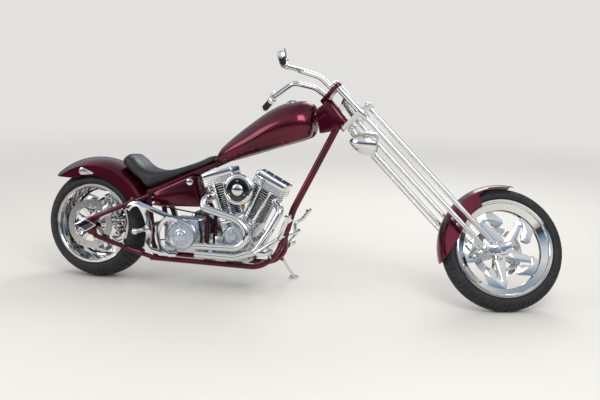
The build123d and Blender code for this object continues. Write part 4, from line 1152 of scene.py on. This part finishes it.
class BuildEngine(bpy.types.Operator):
    """Models the crankcase, finned cylinders, rocker boxes, air cleaner and exhaust"""

    bl_idname = "chopper.build_engine"
    bl_label = "Build engine"

    def execute(self, context):
        self.build_case()
        self.build_cam_cover()
        self.build_cylinders(context.scene.chopper_sizes.fin_count)
        self.build_rockers()
        self.build_air_cleaner()
        self.build_carburettor()
        self.build_exhaust()
        return {"FINISHED"}

    def build_case(self):
        """The round crankcase with the cylinders' bases, the ribbed pump block and its bolts."""
        bm = bmesh.new()
        hub = moved_to(CRANK)
        turned(bm, there_and_back([(0, -88), (104, -88), (112, -80), (112, -8), (114, -6)]), hub, 96, False)
        nose = Matrix.Translation((0, 0, 30)) @ hub
        turned(bm, [(0, -96), (86, -96), (92, -90), (92, -60), (0, -60)], nose, 96, False)
        for angle in CYLINDER_ANGLES:
            place = crank_place(angle)
            block(bm, (0, 0, 120), (124, 130, 129), 6, place)
            for x, y in product((-54, 54), (-52, 52)):
                socket_bolt(bm, (x, y, 184), (0, 0, 1), 5, place)
        block(bm, (822, -100, 250), (50, 24, 130), 4)
        for height in (202, 236, 270, 300):
            block(bm, (822, -112, height), (40, 4, 8), 1.5)
        for way in (-1, 1):
            bolt_ring(bm, 11, 100, 88 * way, way, 4.5, hub, 0.3)
        piece("crankcase_buffed", bm, "alloy", "crankcase")

    def build_cam_cover(self):
        """The round cover on the right of the crankcase, with its rays of ribs."""
        bm = bmesh.new()
        cam = Matrix.Translation((-4, 0, 62)) @ moved_to(CRANK)
        profile = [
            (0, -96), (58, -96), (58, -106), (55, -110), (50, -112), (46, -112),
            (44, -110), (26, -110), (24, -113), (24, -118), (21, -121), (0, -122),
        ]
        turned(bm, profile, cam, 80, False)
        for spin in round_turns(20):
            cut_plate(bm, [(23, -1.6), (47, -2.4), (47, 2.4), (23, 1.6)], -116, -109, cam @ spin, soft=0.8)
        bolt_ring(bm, 5, 52.5, -110, -1, 3.4, cam)
        for x in (-12, 12):
            socket_bolt(bm, (x, -121, 0), (0, -1, 0), 3.2, cam)
        piece("cam_cover_ribbed", bm, "satin")

    def build_cylinders(self, fin_count):
        """Two cylinders: black cores, which stand in as painted shade between the fins, with a stack of bare
        fins on barrel and head.
        """
        cores = bmesh.new()
        barrels = bmesh.new()
        heads = bmesh.new()
        low = DECK + BARREL
        for angle in CYLINDER_ANGLES:
            place = crank_place(angle)
            # The barrel and head cores are black enamel so that the gaps between the fins look dark: painted
            # shade.
            bar(cores, (0, 0, DECK), (0, 0, low), 58, sides=48, place=place)
            for index in range(fin_count):
                level = DECK + BARREL / fin_count * (index + 0.5)
                deck_plate(barrels, rounded(132, 130, 34), level - 1.7, level + 1.7, place)
            deck_plate(cores, rounded(150, 114, 14), low, low + HEAD, place)
            for index in range(5):
                level = low + HEAD / 5 * (index + 0.5)
                deck_plate(heads, rounded(182 - 6 * (index % 2), 130, 18), level - 2.1, level + 2.1, place)
            for x, y in product((-60, 60), (-46, 46)):
                bar(heads, (x, y, low + 4), (x, y, low + HEAD - 4), 9, sides=20, place=place)
            bar(heads, (34, -52, low + 22), (34, -74, low + 14), 8, 6, sides=16, place=place)
        piece("cylinder_cores_painted_shade", cores, "enamel")
        piece("cylinder_barrels_finned", barrels, "alloy", "cylinders")
        piece("cylinder_heads_finned", heads, "alloy")

    def build_rockers(self):
        """The stepped rocker boxes, and the pushrod tubes with their collars and tappet blocks."""
        boxes = bmesh.new()
        tubes = bmesh.new()
        low = DECK + BARREL + HEAD
        for angle in CYLINDER_ANGLES:
            place = crank_place(angle)
            for foot in (low, low + 12, low + 24):
                deck_plate(boxes, rounded(204, 144, 14), foot, foot + 9, place, 1.4)
                deck_plate(boxes, rounded(196, 136, 12), foot + 8, foot + 13, place, 0.5)
            deck_plate(boxes, rounded(202, 141, 13), low + 36, low + ROCKER - 2, place, 5)
            for x, y in product((-84, -28, 28, 84), (-56, 56)):
                socket_bolt(boxes, (x, y, low + ROCKER - 3), (0, 0, 1), 4.5, place)
            for x in (-22, 22):
                start = Vector((x, -84, 112 + abs(x) * 0.2))
                end = Vector((x * 1.6, -76, low))
                bar(tubes, start, end, 9, sides=24, place=place)
                way = (end - start).normalized()
                foot = start + way * 66
                collars = ((foot, 13, 14), (foot + way * 40, 11, 8), (end - way * 18, 12, 16))
                for spot, size, high in collars:
                    bar(tubes, spot, spot + way * high, size, sides=24, soft=1.5, place=place)
            block(tubes, (0, -82, 156), (84, 22, 26), 4, place)
        piece("rocker_boxes_chromed", boxes, "chrome", "rocker_boxes")
        piece("pushrod_tubes_chromed", tubes, "chrome")

    def build_air_cleaner(self):
        """The round air cleaner: a chromed dish, a black face and a raised middle."""
        hub = moved_to(AIR_CLEANER)
        dish = [
            (0, -122), (82, -122), (88, -126), (90, -132), (90, -146), (88, -153),
            (82, -157.5), (72, -159), (68, -157), (66, -155), (0, -155),
        ]
        bm = bmesh.new()
        turned(bm, dish, hub, 96, False)
        piece("air_cleaner_dish", bm, "chrome", "air_cleaner")
        bm = bmesh.new()
        turned(bm, [(0, -154), (65.5, -154), (65, -160), (62, -163), (40, -165.5), (0, -166)], hub, 96, False)
        piece("air_cleaner_face", bm, "enamel")
        bm = bmesh.new()
        turned(bm, [(0, -160), (34, -164), (34, -167), (30, -171), (20, -174), (0, -175)], hub, 64, False)
        bolt_ring(bm, 3, 52, -164.6, -1, 4, hub, 0.5)
        piece("air_cleaner_hub", bm, "chrome")

    def build_carburettor(self):
        """The carburettor with its bowl between air cleaner and inlet, and its drain."""
        bm = bmesh.new()
        bar(bm, (942, -123, 600), (936, -40, 594), 26, sides=32)
        block(bm, (938, -70, 596), (62, 52, 66), 6)
        bar(bm, (938, -70, 560), (938, -70, 520), 22, 18, soft=2)
        bar(bm, (862, -14, 560), (1006, -14, 560), 20)
        piece("carburettor_cast", bm, "satin")
        bm = bmesh.new()
        bar(bm, (944, -76, 528), (950, -79, 490), 12, soft=1.5)
        bar(bm, (950, -79, 492), (952, -80, 474), 9, 7, sides=6, soft=1)
        piece("carburettor_drain", bm, "brass")

    def build_exhaust(self):
        """Two bent pipes with open ends, and the flanges at the heads."""
        rear_port = Vector((752, -60, 548))
        front_port = Vector((1140, -60, 540))
        rear = [
            rear_port, (734, -138, 532), (728, -158, 482), (946, -158, 430),
            (1042, -160, 345), (956, -162, 262), (690, -162, 254),
        ]
        front = [
            front_port, (1194, -112, 496), (1136, -140, 370), (1058, -142, 246),
            (940, -160, 208), (700, -166, 208),
        ]
        bm = bmesh.new()
        bent_bar(bm, rear, (40, 32, 120, 70, 84), 22, 40)
        bent_bar(bm, front, (40, 80, 70, 80), 22, 40)
        bores = bmesh.new()
        bar(bores, (680, -162, 254), (730, -162, 255), 20, sides=40)
        bar(bores, (690, -166, 208), (740, -166, 208), 20, sides=40)
        carve(bm, bores)
        piece("exhaust_pipes_bent", bm, "chrome", "exhaust_pipes")
        bm = bmesh.new()
        for start, port in (((766, -26, 552), rear_port), ((1118, -40, 552), front_port)):
            way = (port - Vector(start)).normalized()
            bar(bm, port + way * 2, port + way * 14, 29, sides=32, soft=2)
        piece("exhaust_flanges", bm, "chrome")


class BuildDrive(bpy.types.Operator):
    """Models the gearbox, primary case, belt, side brackets and controls"""

    bl_idname = "chopper.build_drive"
    bl_label = "Build drive line"

    def execute(self, context):
        self.build_gearbox()
        self.build_primary()
        self.build_belt()
        dressed_copy("side_brackets_forged", "side_brackets", "chrome", 2.0)
        dressed_copy("forward_controls_billet", "forward_controls", "chrome", 1.5)
        dressed_copy("rear_caliper_billet", "rear_caliper", "alloy", 2.0)
        self.build_peg_sleeves()
        return {"FINISHED"}

    def build_gearbox(self):
        """The gearbox with its output shaft, and the round cover on its right."""
        shaft_x, shaft_z = PULLEY_SHAFT
        bm = bmesh.new()
        outline = [(486, 208), (694, 208), (704, 300), (690, 404), (500, 404), (474, 330)]
        cut_plate(bm, outline, -118, 62, corner=10, soft=4)
        for height in (228, 256, 284, 312, 340, 368):
            block(bm, (478, -28, height), (18, 150, 5), 1.2)
        bar(bm, (shaft_x, 62, shaft_z), (shaft_x, PRIMARY_Y, shaft_z), 30)
        piece("gearbox_cast", bm, "alloy", "gearbox")
        bm = bmesh.new()
        hub = moved_to(GEARBOX_COVER)
        profile = [
            (0, -118), (88, -118), (88, -138), (85, -144), (78, -147), (66, -147), (63, -144),
            (38, -144), (36, -150), (33, -152), (22, -152), (20, -156), (17, -158), (0, -158),
        ]
        turned(bm, profile, hub, 96, False)
        bolt_ring(bm, 6, 74, -146, -1, 4.5, hub)
        for spin in round_turns(3, 0.5):
            cut_plate(bm, [(30, -6), (70, -4), (70, 4), (30, 6)], -150, -143, hub @ spin, soft=1.2)
        bar(bm, (0, -157, 0), (0, -160, 0), 9, sides=6, place=hub)
        piece("gearbox_cover_satin", bm, "satin")

    def build_primary(self):
        """The primary case on the left, with its raised lid, bolts and clutch cover."""
        crank_x, crank_z = CRANK
        case = PRIMARY_Y + 52
        wide = [(*CRANK, 104), (*PULLEY_SHAFT, 96)]
        small = [(x, z, radius - 14) for x, z, radius in wide]
        bm = bmesh.new()
        cut_plate(bm, hull_outline(wide, 48), PRIMARY_Y, case, soft=6)
        cut_plate(bm, hull_outline(small, 48), case - 1, case + 8, soft=3)
        bar(bm, (crank_x, 88, crank_z), (crank_x, PRIMARY_Y, crank_z), 58, sides=48)
        for (x, z, radius), end in zip(wide, (1, -1)):
            for index in range(5):
                angle = end * (pi / 2 + (index - 2) * 0.7)
                spot = (x + (radius - 9) * sin(angle), case - 1, z + (radius - 9) * cos(angle))
                socket_bolt(bm, spot, (0, 1, 0), 4.5)
        piece("primary_case_chromed", bm, "chrome", "primary_case")
        bm = bmesh.new()
        clutch = moved_to(PULLEY_SHAFT)
        profile = [(0, 224), (58, 224), (58, 229), (54, 232), (48, 232.5), (46, 230), (0, 231)]
        turned(bm, profile, clutch, 80, False)
        bolt_ring(bm, 5, 52, 231, 1, 3.5, clutch)
        piece("primary_clutch_cover", bm, "chrome")

    def build_belt(self):
        """The toothed belt round its two pulleys, and the front pulley."""
        low, high = 131.5, 149.5
        outside = [(0, REAR_AXLE_HEIGHT, 152), (*PULLEY_SHAFT, 72.4)]
        inside = [(x, z, radius - 6) for x, z, radius in outside]
        bm = bmesh.new()
        cut_plate(bm, hull_outline(outside, 64), low, high)
        hole = bmesh.new()
        cut_plate(hole, hull_outline(inside, 64), low - 11.5, high + 10.5)
        carve(bm, hole)
        piece("drive_belt_toothed", bm, "belt", "drive_belt", limit=30)
        bm = bmesh.new()
        profile = [(30.2, low - 2), (66, low - 2), (66, high + 2), (30.2, high + 2)]
        turned(bm, profile, moved_to(PULLEY_SHAFT))
        piece("front_pulley_turned", bm, "alloy")

    def build_peg_sleeves(self):
        """The ringed sleeves on the rider's foot pegs."""
        x, z = 1150, 264
        bm = bmesh.new()
        for side in (-1, 1):
            for index in range(5):
                y = (222 + 13 * index) * side
                bar(bm, (x, y, z), (x, y + 9 * side, z), 19, sides=32, soft=2.2)
            bar(bm, (x, 284 * side, z), (x, 291 * side, z), 19.5, sides=32, soft=2.5)
        piece("foot_peg_sleeves", bm, "chrome")


class BuildFork(bpy.types.Operator):
    """Models the fork's legs, trees, springs, rockers, caliper and hose"""

    bl_idname = "chopper.build_fork"
    bl_label = "Build fork"

    def execute(self, context):
        self.build_legs()
        for name, node, finish, width in (
            ("lower_tree_billet", "lower_tree", "chrome", 3.0),
            ("top_tree_painted", "top_tree", "candy", 3.0),
            ("rockers_billet", "rockers", "chrome", 2.0),
            ("front_caliper_billet", "front_caliper", "alloy", 2.0),
            ("brake_hose_braided", "brake_hose", "braid", 0.1),
        ):
            dressed_copy(name, node, finish, width, "fork")
        self.build_hose_clips()
        self.build_springs()
        self.build_pivots()
        return {"FINISHED"}

    def build_legs(self):
        """The thick and thin parts of the rear legs, the front legs, and the eyes at their feet."""
        rear = bmesh.new()
        front = bmesh.new()
        waist = LOWER_TREE - 30
        top = LOWER_TREE + 32
        for side in (-FORK_HALF, FORK_HALF):
            bar(rear, on_leg(LOW_LEG, side), on_leg(waist, side), 14)
            bar(rear, on_leg(waist, side), on_leg(124, side), 21, soft=2)
            bar(rear, on_leg(waist + 6, side), on_leg(waist, side), 22.5, soft=2)
            bar(rear, on_leg(124, side), on_leg(128, side), 15, sides=6)
            bar(rear, on_leg(LOW_LEG, side - 15), on_leg(LOW_LEG, side + 15), 17, soft=2)
            head = on_leg(top, side, LEG_SPACING)
            bar(front, on_leg(LOW_FRONT_LEG, side, LEG_SPACING), head, 14)
            ball(front, head, 15)
            eye = [on_leg(LOW_FRONT_LEG, side + shift, LEG_SPACING) for shift in (-15, 15)]
            bar(front, *eye, 16, soft=2)
        piece("fork_rear_legs_chromed", rear, "chrome", "fork_rear_legs", body="fork")
        piece("fork_front_legs_chromed", front, "chrome", "fork_front_legs", body="fork")

    def build_hose_clips(self):
        """Four clips, each a band round the leg, a band round the hose and the web between them."""
        rise = Vector((-LEG_SLOPE * 4.5, 0, 4.5))
        bm = bmesh.new()
        for up in (-300, -480, -660, -840):
            leg = Vector(on_leg(up, FORK_HALF))
            hose = leg + Vector((-28, 4, 0))
            bar(bm, leg - rise, leg + rise, 15.6, sides=32, soft=0.8)
            bar(bm, hose - rise, hose + rise, 5.6, sides=20, soft=0.8)
            block(bm, (leg + hose) / 2, (20, 3.2, 8.6), 0.6)
        piece("brake_hose_clips", bm, "chrome", body="fork")

    def build_springs(self):
        """Two coil springs on their rods, with the yoke that ties them to the legs."""
        x, half = 92, 55
        low = LOWER_TREE + 30
        high = 14
        turns = 9
        steps = turns * 20
        bm = bmesh.new()
        for side in (-half, half):
            coil = bmesh.new()
            bmesh.ops.create_circle(coil, cap_ends=True, segments=12, radius=4.0)
            coil.transform(Matrix.Translation((15, 0, low + 6)) @ Matrix.Rotation(radians(90), 4, "X"))
            bmesh.ops.spin(
                coil,
                geom=coil.verts[:] + coil.edges[:] + coil.faces[:],
                cent=(0, 0, 0),
                axis=(0, 0, 1),
                dvec=(0, 0, (high - low - 12) / steps),
                angle=2 * pi * turns,
                steps=steps,
            )
            bmesh.ops.remove_doubles(coil, verts=coil.verts, dist=0.01)
            add_shape(bm, coil, Matrix.Translation((x, side, 0)))
            bar(bm, (x, side, low), (x, side, high), 9, sides=24)
            bar(bm, (x, side, low), (x, side, low + 5), 21, soft=1.5)
            bar(bm, (x, side, high - 4), (x, side, high + 20), 17, soft=2)
        circles = [(x, side, 23) for side in (-half, half)]
        circles += [(*on_leg(high, side)[:2], 14) for side in (-FORK_HALF, FORK_HALF)]
        deck_plate(bm, hull_outline(circles, 24), high, high + 14, Matrix(), 2)
        piece("fork_springs_coiled", bm, "chrome", "fork_springs", body="fork")

    def build_pivots(self):
        """Domed nuts at both legs' pivots and at the axle."""
        bm = bmesh.new()
        for side in (-1, 1):
            y = 172 * side
            axle = (WHEEL_FORWARD, y, -WHEEL_DROP)
            for spot in (on_leg(LOW_LEG, y), on_leg(LOW_FRONT_LEG, y, LEG_SPACING), axle):
                acorn(bm, spot, (0, side, 0), 12)
        piece("rocker_pivot_nuts", bm, "chrome", body="fork")


class BuildBars(bpy.types.Operator):
    """Models the handlebars, grips, levers and headlight"""

    bl_idname = "chopper.build_bars"
    bl_label = "Build bars and headlight"

    def execute(self, context):
        self.build_handlebars()
        self.build_headlight()
        return {"FINISHED"}

    def build_handlebars(self):
        """The left bar with its clamp, lever, reservoir and ribbed grip, and its mirror image."""
        route = ((42, 75, 104), (17, 92, 207), (-66, 104, 305), (-166, 250, 329), (-205, 440, 346))
        points = [Vector(point) for point in route]
        line = (points[-1] - points[-2]).normalized()
        up = Vector((0, 0, 1))
        grip_start = points[-1] - line * 128
        clamp = grip_start - line * 34
        lug = clamp + line * 14
        root = lug + Vector((24, 0, 12))
        tip = root + line * 150 + Vector((12, 0, 4))
        bars = bmesh.new()
        grips = bmesh.new()
        caps = bmesh.new()
        for place in (Matrix(), MIRROR):
            bent_bar(bars, points, (90, 60, 70), 16, 32, place)
            bar(bars, clamp, grip_start - line * 4, 23, soft=2.5, place=place)
            bar(bars, lug, root, 9, 8, soft=2, place=place)
            bar(bars, root - up * 9, root + up * 20, 15, sides=32, soft=2, place=place)
            bar(bars, root + up * 19, root + up * 27, 17, sides=32, soft=2.5, place=place)
            bent_bar(bars, [root, root + line * 40 + Vector((8, 0, 2)), tip], 60, 5, 16, place)
            ball(bars, tip, 7, place)
            bar(bars, (42, 75, 98), (40, 77, 112), 21, soft=3, place=place)
            for index in range(12):
                spot = grip_start + line * (8 + index * 9.2)
                bar(grips, spot, spot + line * 5.6, 20.0, sides=32, soft=1.6, place=place)
            bar(grips, grip_start, grip_start + line * 122, 18.4, sides=32, place=place)
            bar(caps, grip_start + line * 120, points[-1] + line * 5, 20.5, sides=40, soft=3.5, place=place)
            bar(caps, grip_start, grip_start + line * 6, 21.5, sides=40, soft=2, place=place)
        piece("handlebars_bent", bars, "chrome", "handlebars", body="fork")
        piece("hand_grips_ribbed", grips, "grip", "hand_grips", body="fork")
        piece("hand_grip_caps", caps, "chrome", body="fork")

    def build_headlight(self):
        """The bullet-shaped headlight under the lower tree, its bracket and its lens."""
        level = Matrix.Rotation(RAKE, 4, "Y") @ Matrix.Rotation(radians(-90), 4, "Z")
        lamp = Matrix.Translation((20, 0, -228)) @ level
        rim = [(0, 66), (62, 66), (64, 72), (70, 72), (72, 68), (72, 60), (70, 57)]
        bullet = arc((70, 45), (53.2, -30), (8, -75), 20)
        bm = bmesh.new()
        turned(bm, rim + bullet + [(0, -75)], lamp, 96, False)
        bar(bm, (20, 0, -200), (20, 0, LOWER_TREE + 2), 11, sides=24)
        acorn(bm, (20, 0, LOWER_TREE - 6), (0, 0, -1), 13)
        piece("headlight_shell_spun", bm, "chrome", "headlight", body="fork", limit=30)
        bm = bmesh.new()
        turned(bm, [(0, 72), (60, 72), (66, 76), (64, 79), (42, 84), (0, 87)], lamp, 96, False)
        piece("headlight_lens_pressed", bm, "glass", "headlight_lens", body="fork", limit=30)


# Studio, in metres
BACKDROP = "#E2E1DE"
SKY = (
    # share of the way from straight down to straight up, colour
    (0.0, "#4F5255"),
    (0.09, "#343739"),
    (0.2, "#7C98B8"),
    (0.42, "#D3DFEB"),
    (0.66, "#EEF0F2"),
    (1.0, "#A2AEBC"),
)
LAMPS = (
    # name, place, aim, size, power
    ("key_light", (2.6, -4.2, 4.6), (0, 0, 0.5), 3.0, 180),
    ("fill_light", (-4.4, -3.4, 2.6), (0, 0, 0.6), 2.4, 70),
    ("back_light", (0.4, 4.2, 3.8), (0, 0, 0.6), 2.6, 95),
)
FLOOR_RADIUS = 60.0
CAMERA_FROM_AXLE = (2.9497, -5.4923, 1.23795)
CAMERA_TURN = radians(16.94)
CAMERA_DIP = radians(10.0)
CAMERA_ROLL = radians(-1.13)


class BuildStage(bpy.types.Operator):
    """Adds the floor, the soft lights and the camera"""

    bl_idname = "chopper.build_stage"
    bl_label = "Build stage"

    def execute(self, context):
        scene = context.scene
        self.build_floor()
        self.light_world(scene)
        for name, place, aim, size, power in LAMPS:
            lamp = bpy.data.lights.new(name, "AREA")
            lamp.size = size
            lamp.energy = power
            holder = bpy.data.objects.new(name, lamp)
            holder.location = place
            holder.rotation_euler = (Vector(aim) - Vector(place)).to_track_quat("-Z", "Y").to_euler()
            scene.collection.objects.link(holder)
        self.build_camera(scene)
        scene.view_settings.view_transform = "Standard"
        return {"FINISHED"}

    def light_world(self, scene):
        """Even pale light all round; mirrors see a dark band low down and a pale sky above it."""
        world = bpy.data.worlds.new("studio")
        scene.world = world
        world.use_nodes = True
        tree = world.node_tree
        where = add_node(tree, "ShaderNodeTexCoord")
        parts = add_node(tree, "ShaderNodeSeparateXYZ", [(where.outputs["Generated"], "Vector")])
        sky = add_node(tree, "ShaderNodeValToRGB", [(parts.outputs["Z"], "Fac")])
        elements = sky.color_ramp.elements
        elements[0].color = colour(SKY[0][1])
        elements[1].color = colour(SKY[-1][1])
        for position, code in SKY[1:-1]:
            elements.new(position).color = colour(code)
        path = add_node(tree, "ShaderNodeLightPath")
        seen = add_node(tree, "ShaderNodeMix", data_type="RGBA")
        seen.inputs[6].default_value = colour(BACKDROP)
        tree.links.new(path.outputs["Is Glossy Ray"], seen.inputs[0])
        tree.links.new(sky.outputs["Color"], seen.inputs[7])
        background = tree.nodes["Background"]
        background.inputs["Strength"].default_value = 1.0
        tree.links.new(seen.outputs[2], background.inputs["Color"])

    def build_floor(self):
        """A wide round floor that melts into the backdrop far off."""
        bm = bmesh.new()
        bmesh.ops.create_circle(bm, cap_ends=True, segments=128, radius=FLOOR_RADIUS)
        mesh = bpy.data.meshes.new("floor")
        bm.to_mesh(mesh)
        bm.free()
        floor = bpy.data.objects.new("floor", mesh)
        bpy.context.scene.collection.objects.link(floor)
        # Painted studio floor: pale, matt, evenly rolled; from 2.2 to 9 m it turns into the backdrop
        tree, shader = new_finish("floor", "floor_paint_rolled", "#DAD8D4", 0.0, 0.75)
        embossed(tree, shader, blotches(tree, 12.0, 3.0), 0.1)
        where = add_node(tree, "ShaderNodeTexCoord")
        reach = add_node(tree, "ShaderNodeVectorMath", [(where.outputs["Object"], 0)], operation="LENGTH")
        fade = add_node(
            tree, "ShaderNodeMapRange", [(reach.outputs["Value"], "Value")],
            From_Min=2.2, From_Max=9.0, To_Min=0.0, To_Max=1.0,
        )
        path = add_node(tree, "ShaderNodeLightPath")
        share = add_node(
            tree, "ShaderNodeMath", [(fade.outputs["Result"], 0), (path.outputs["Is Camera Ray"], 1)],
            operation="MULTIPLY",
        )
        glow = add_node(tree, "ShaderNodeEmission", Color=colour(BACKDROP))
        blend = add_node(
            tree, "ShaderNodeMixShader",
            [(share.outputs[0], 0), (shader.outputs["BSDF"], 1), (glow.outputs["Emission"], 2)],
        )
        tree.links.new(blend.outputs["Shader"], tree.nodes["Material Output"].inputs["Surface"])
        mesh.materials.append(finishes["floor"])

    def build_camera(self, scene):
        """The camera, turned, dipped and rolled, at its place from the rear axle."""
        turn, dip, roll = CAMERA_TURN, CAMERA_DIP, CAMERA_ROLL
        forward = Vector((-sin(turn) * cos(dip), cos(turn) * cos(dip), -sin(dip)))
        level = Vector((cos(turn), sin(turn), 0))
        down = forward.cross(level)
        right = level * cos(roll) + down * sin(roll)
        low = down * cos(roll) - level * sin(roll)
        place = Matrix([right, -low, -forward]).transposed().to_4x4()
        place.translation = REAR.translation + Vector(CAMERA_FROM_AXLE)
        camera = bpy.data.cameras.new("camera")
        camera.lens = scene.chopper_sizes.focal
        camera.sensor_width = 36.0
        holder = bpy.data.objects.new("camera", camera)
        holder.matrix_world = place
        scene.collection.objects.link(holder)
        scene.camera = holder


class ChopperPanel(bpy.types.Panel):
    """Lists the settings and the operators"""

    bl_label = "Chopper"
    bl_idname = "VIEW3D_PT_chopper"
    bl_space_type = "VIEW_3D"
    bl_region_type = "UI"
    bl_category = "Chopper"

    def draw(self, context):
        layout = self.layout
        for group in (context.scene.chopper_colours, context.scene.chopper_sizes):
            for name in group.__annotations__:
                layout.prop(group, name)
        for operator in OPERATORS:
            layout.operator(operator.bl_idname)


OPERATORS = (
    BuildStage,
    BuildWheels,
    BuildFrame,
    BuildTank,
    BuildFenders,
    BuildSeat,
    BuildEngine,
    BuildDrive,
    BuildFork,
    BuildBars,
)
GROUPS = (ChopperColours, ChopperSizes)


def register():
    for group in GROUPS + OPERATORS + (ChopperPanel,):
        bpy.utils.register_class(group)
    bpy.types.Scene.chopper_colours = bpy.props.PointerProperty(type=ChopperColours)
    bpy.types.Scene.chopper_sizes = bpy.props.PointerProperty(type=ChopperSizes)


def unregister():
    del bpy.types.Scene.chopper_colours
    del bpy.types.Scene.chopper_sizes
    for group in reversed(GROUPS + OPERATORS + (ChopperPanel,)):
        bpy.utils.unregister_class(group)


def main():
    register()
    colours = bpy.context.scene.chopper_colours
    make_metals()
    make_paints(colours.paint)
    make_rubbers(colours.rubber)
    make_leather(colours.leather)
    for operator in OPERATORS:
        family, action = operator.bl_idname.split(".")
        getattr(getattr(bpy.ops, family), action)()


if __name__ == "__main__":
    main()
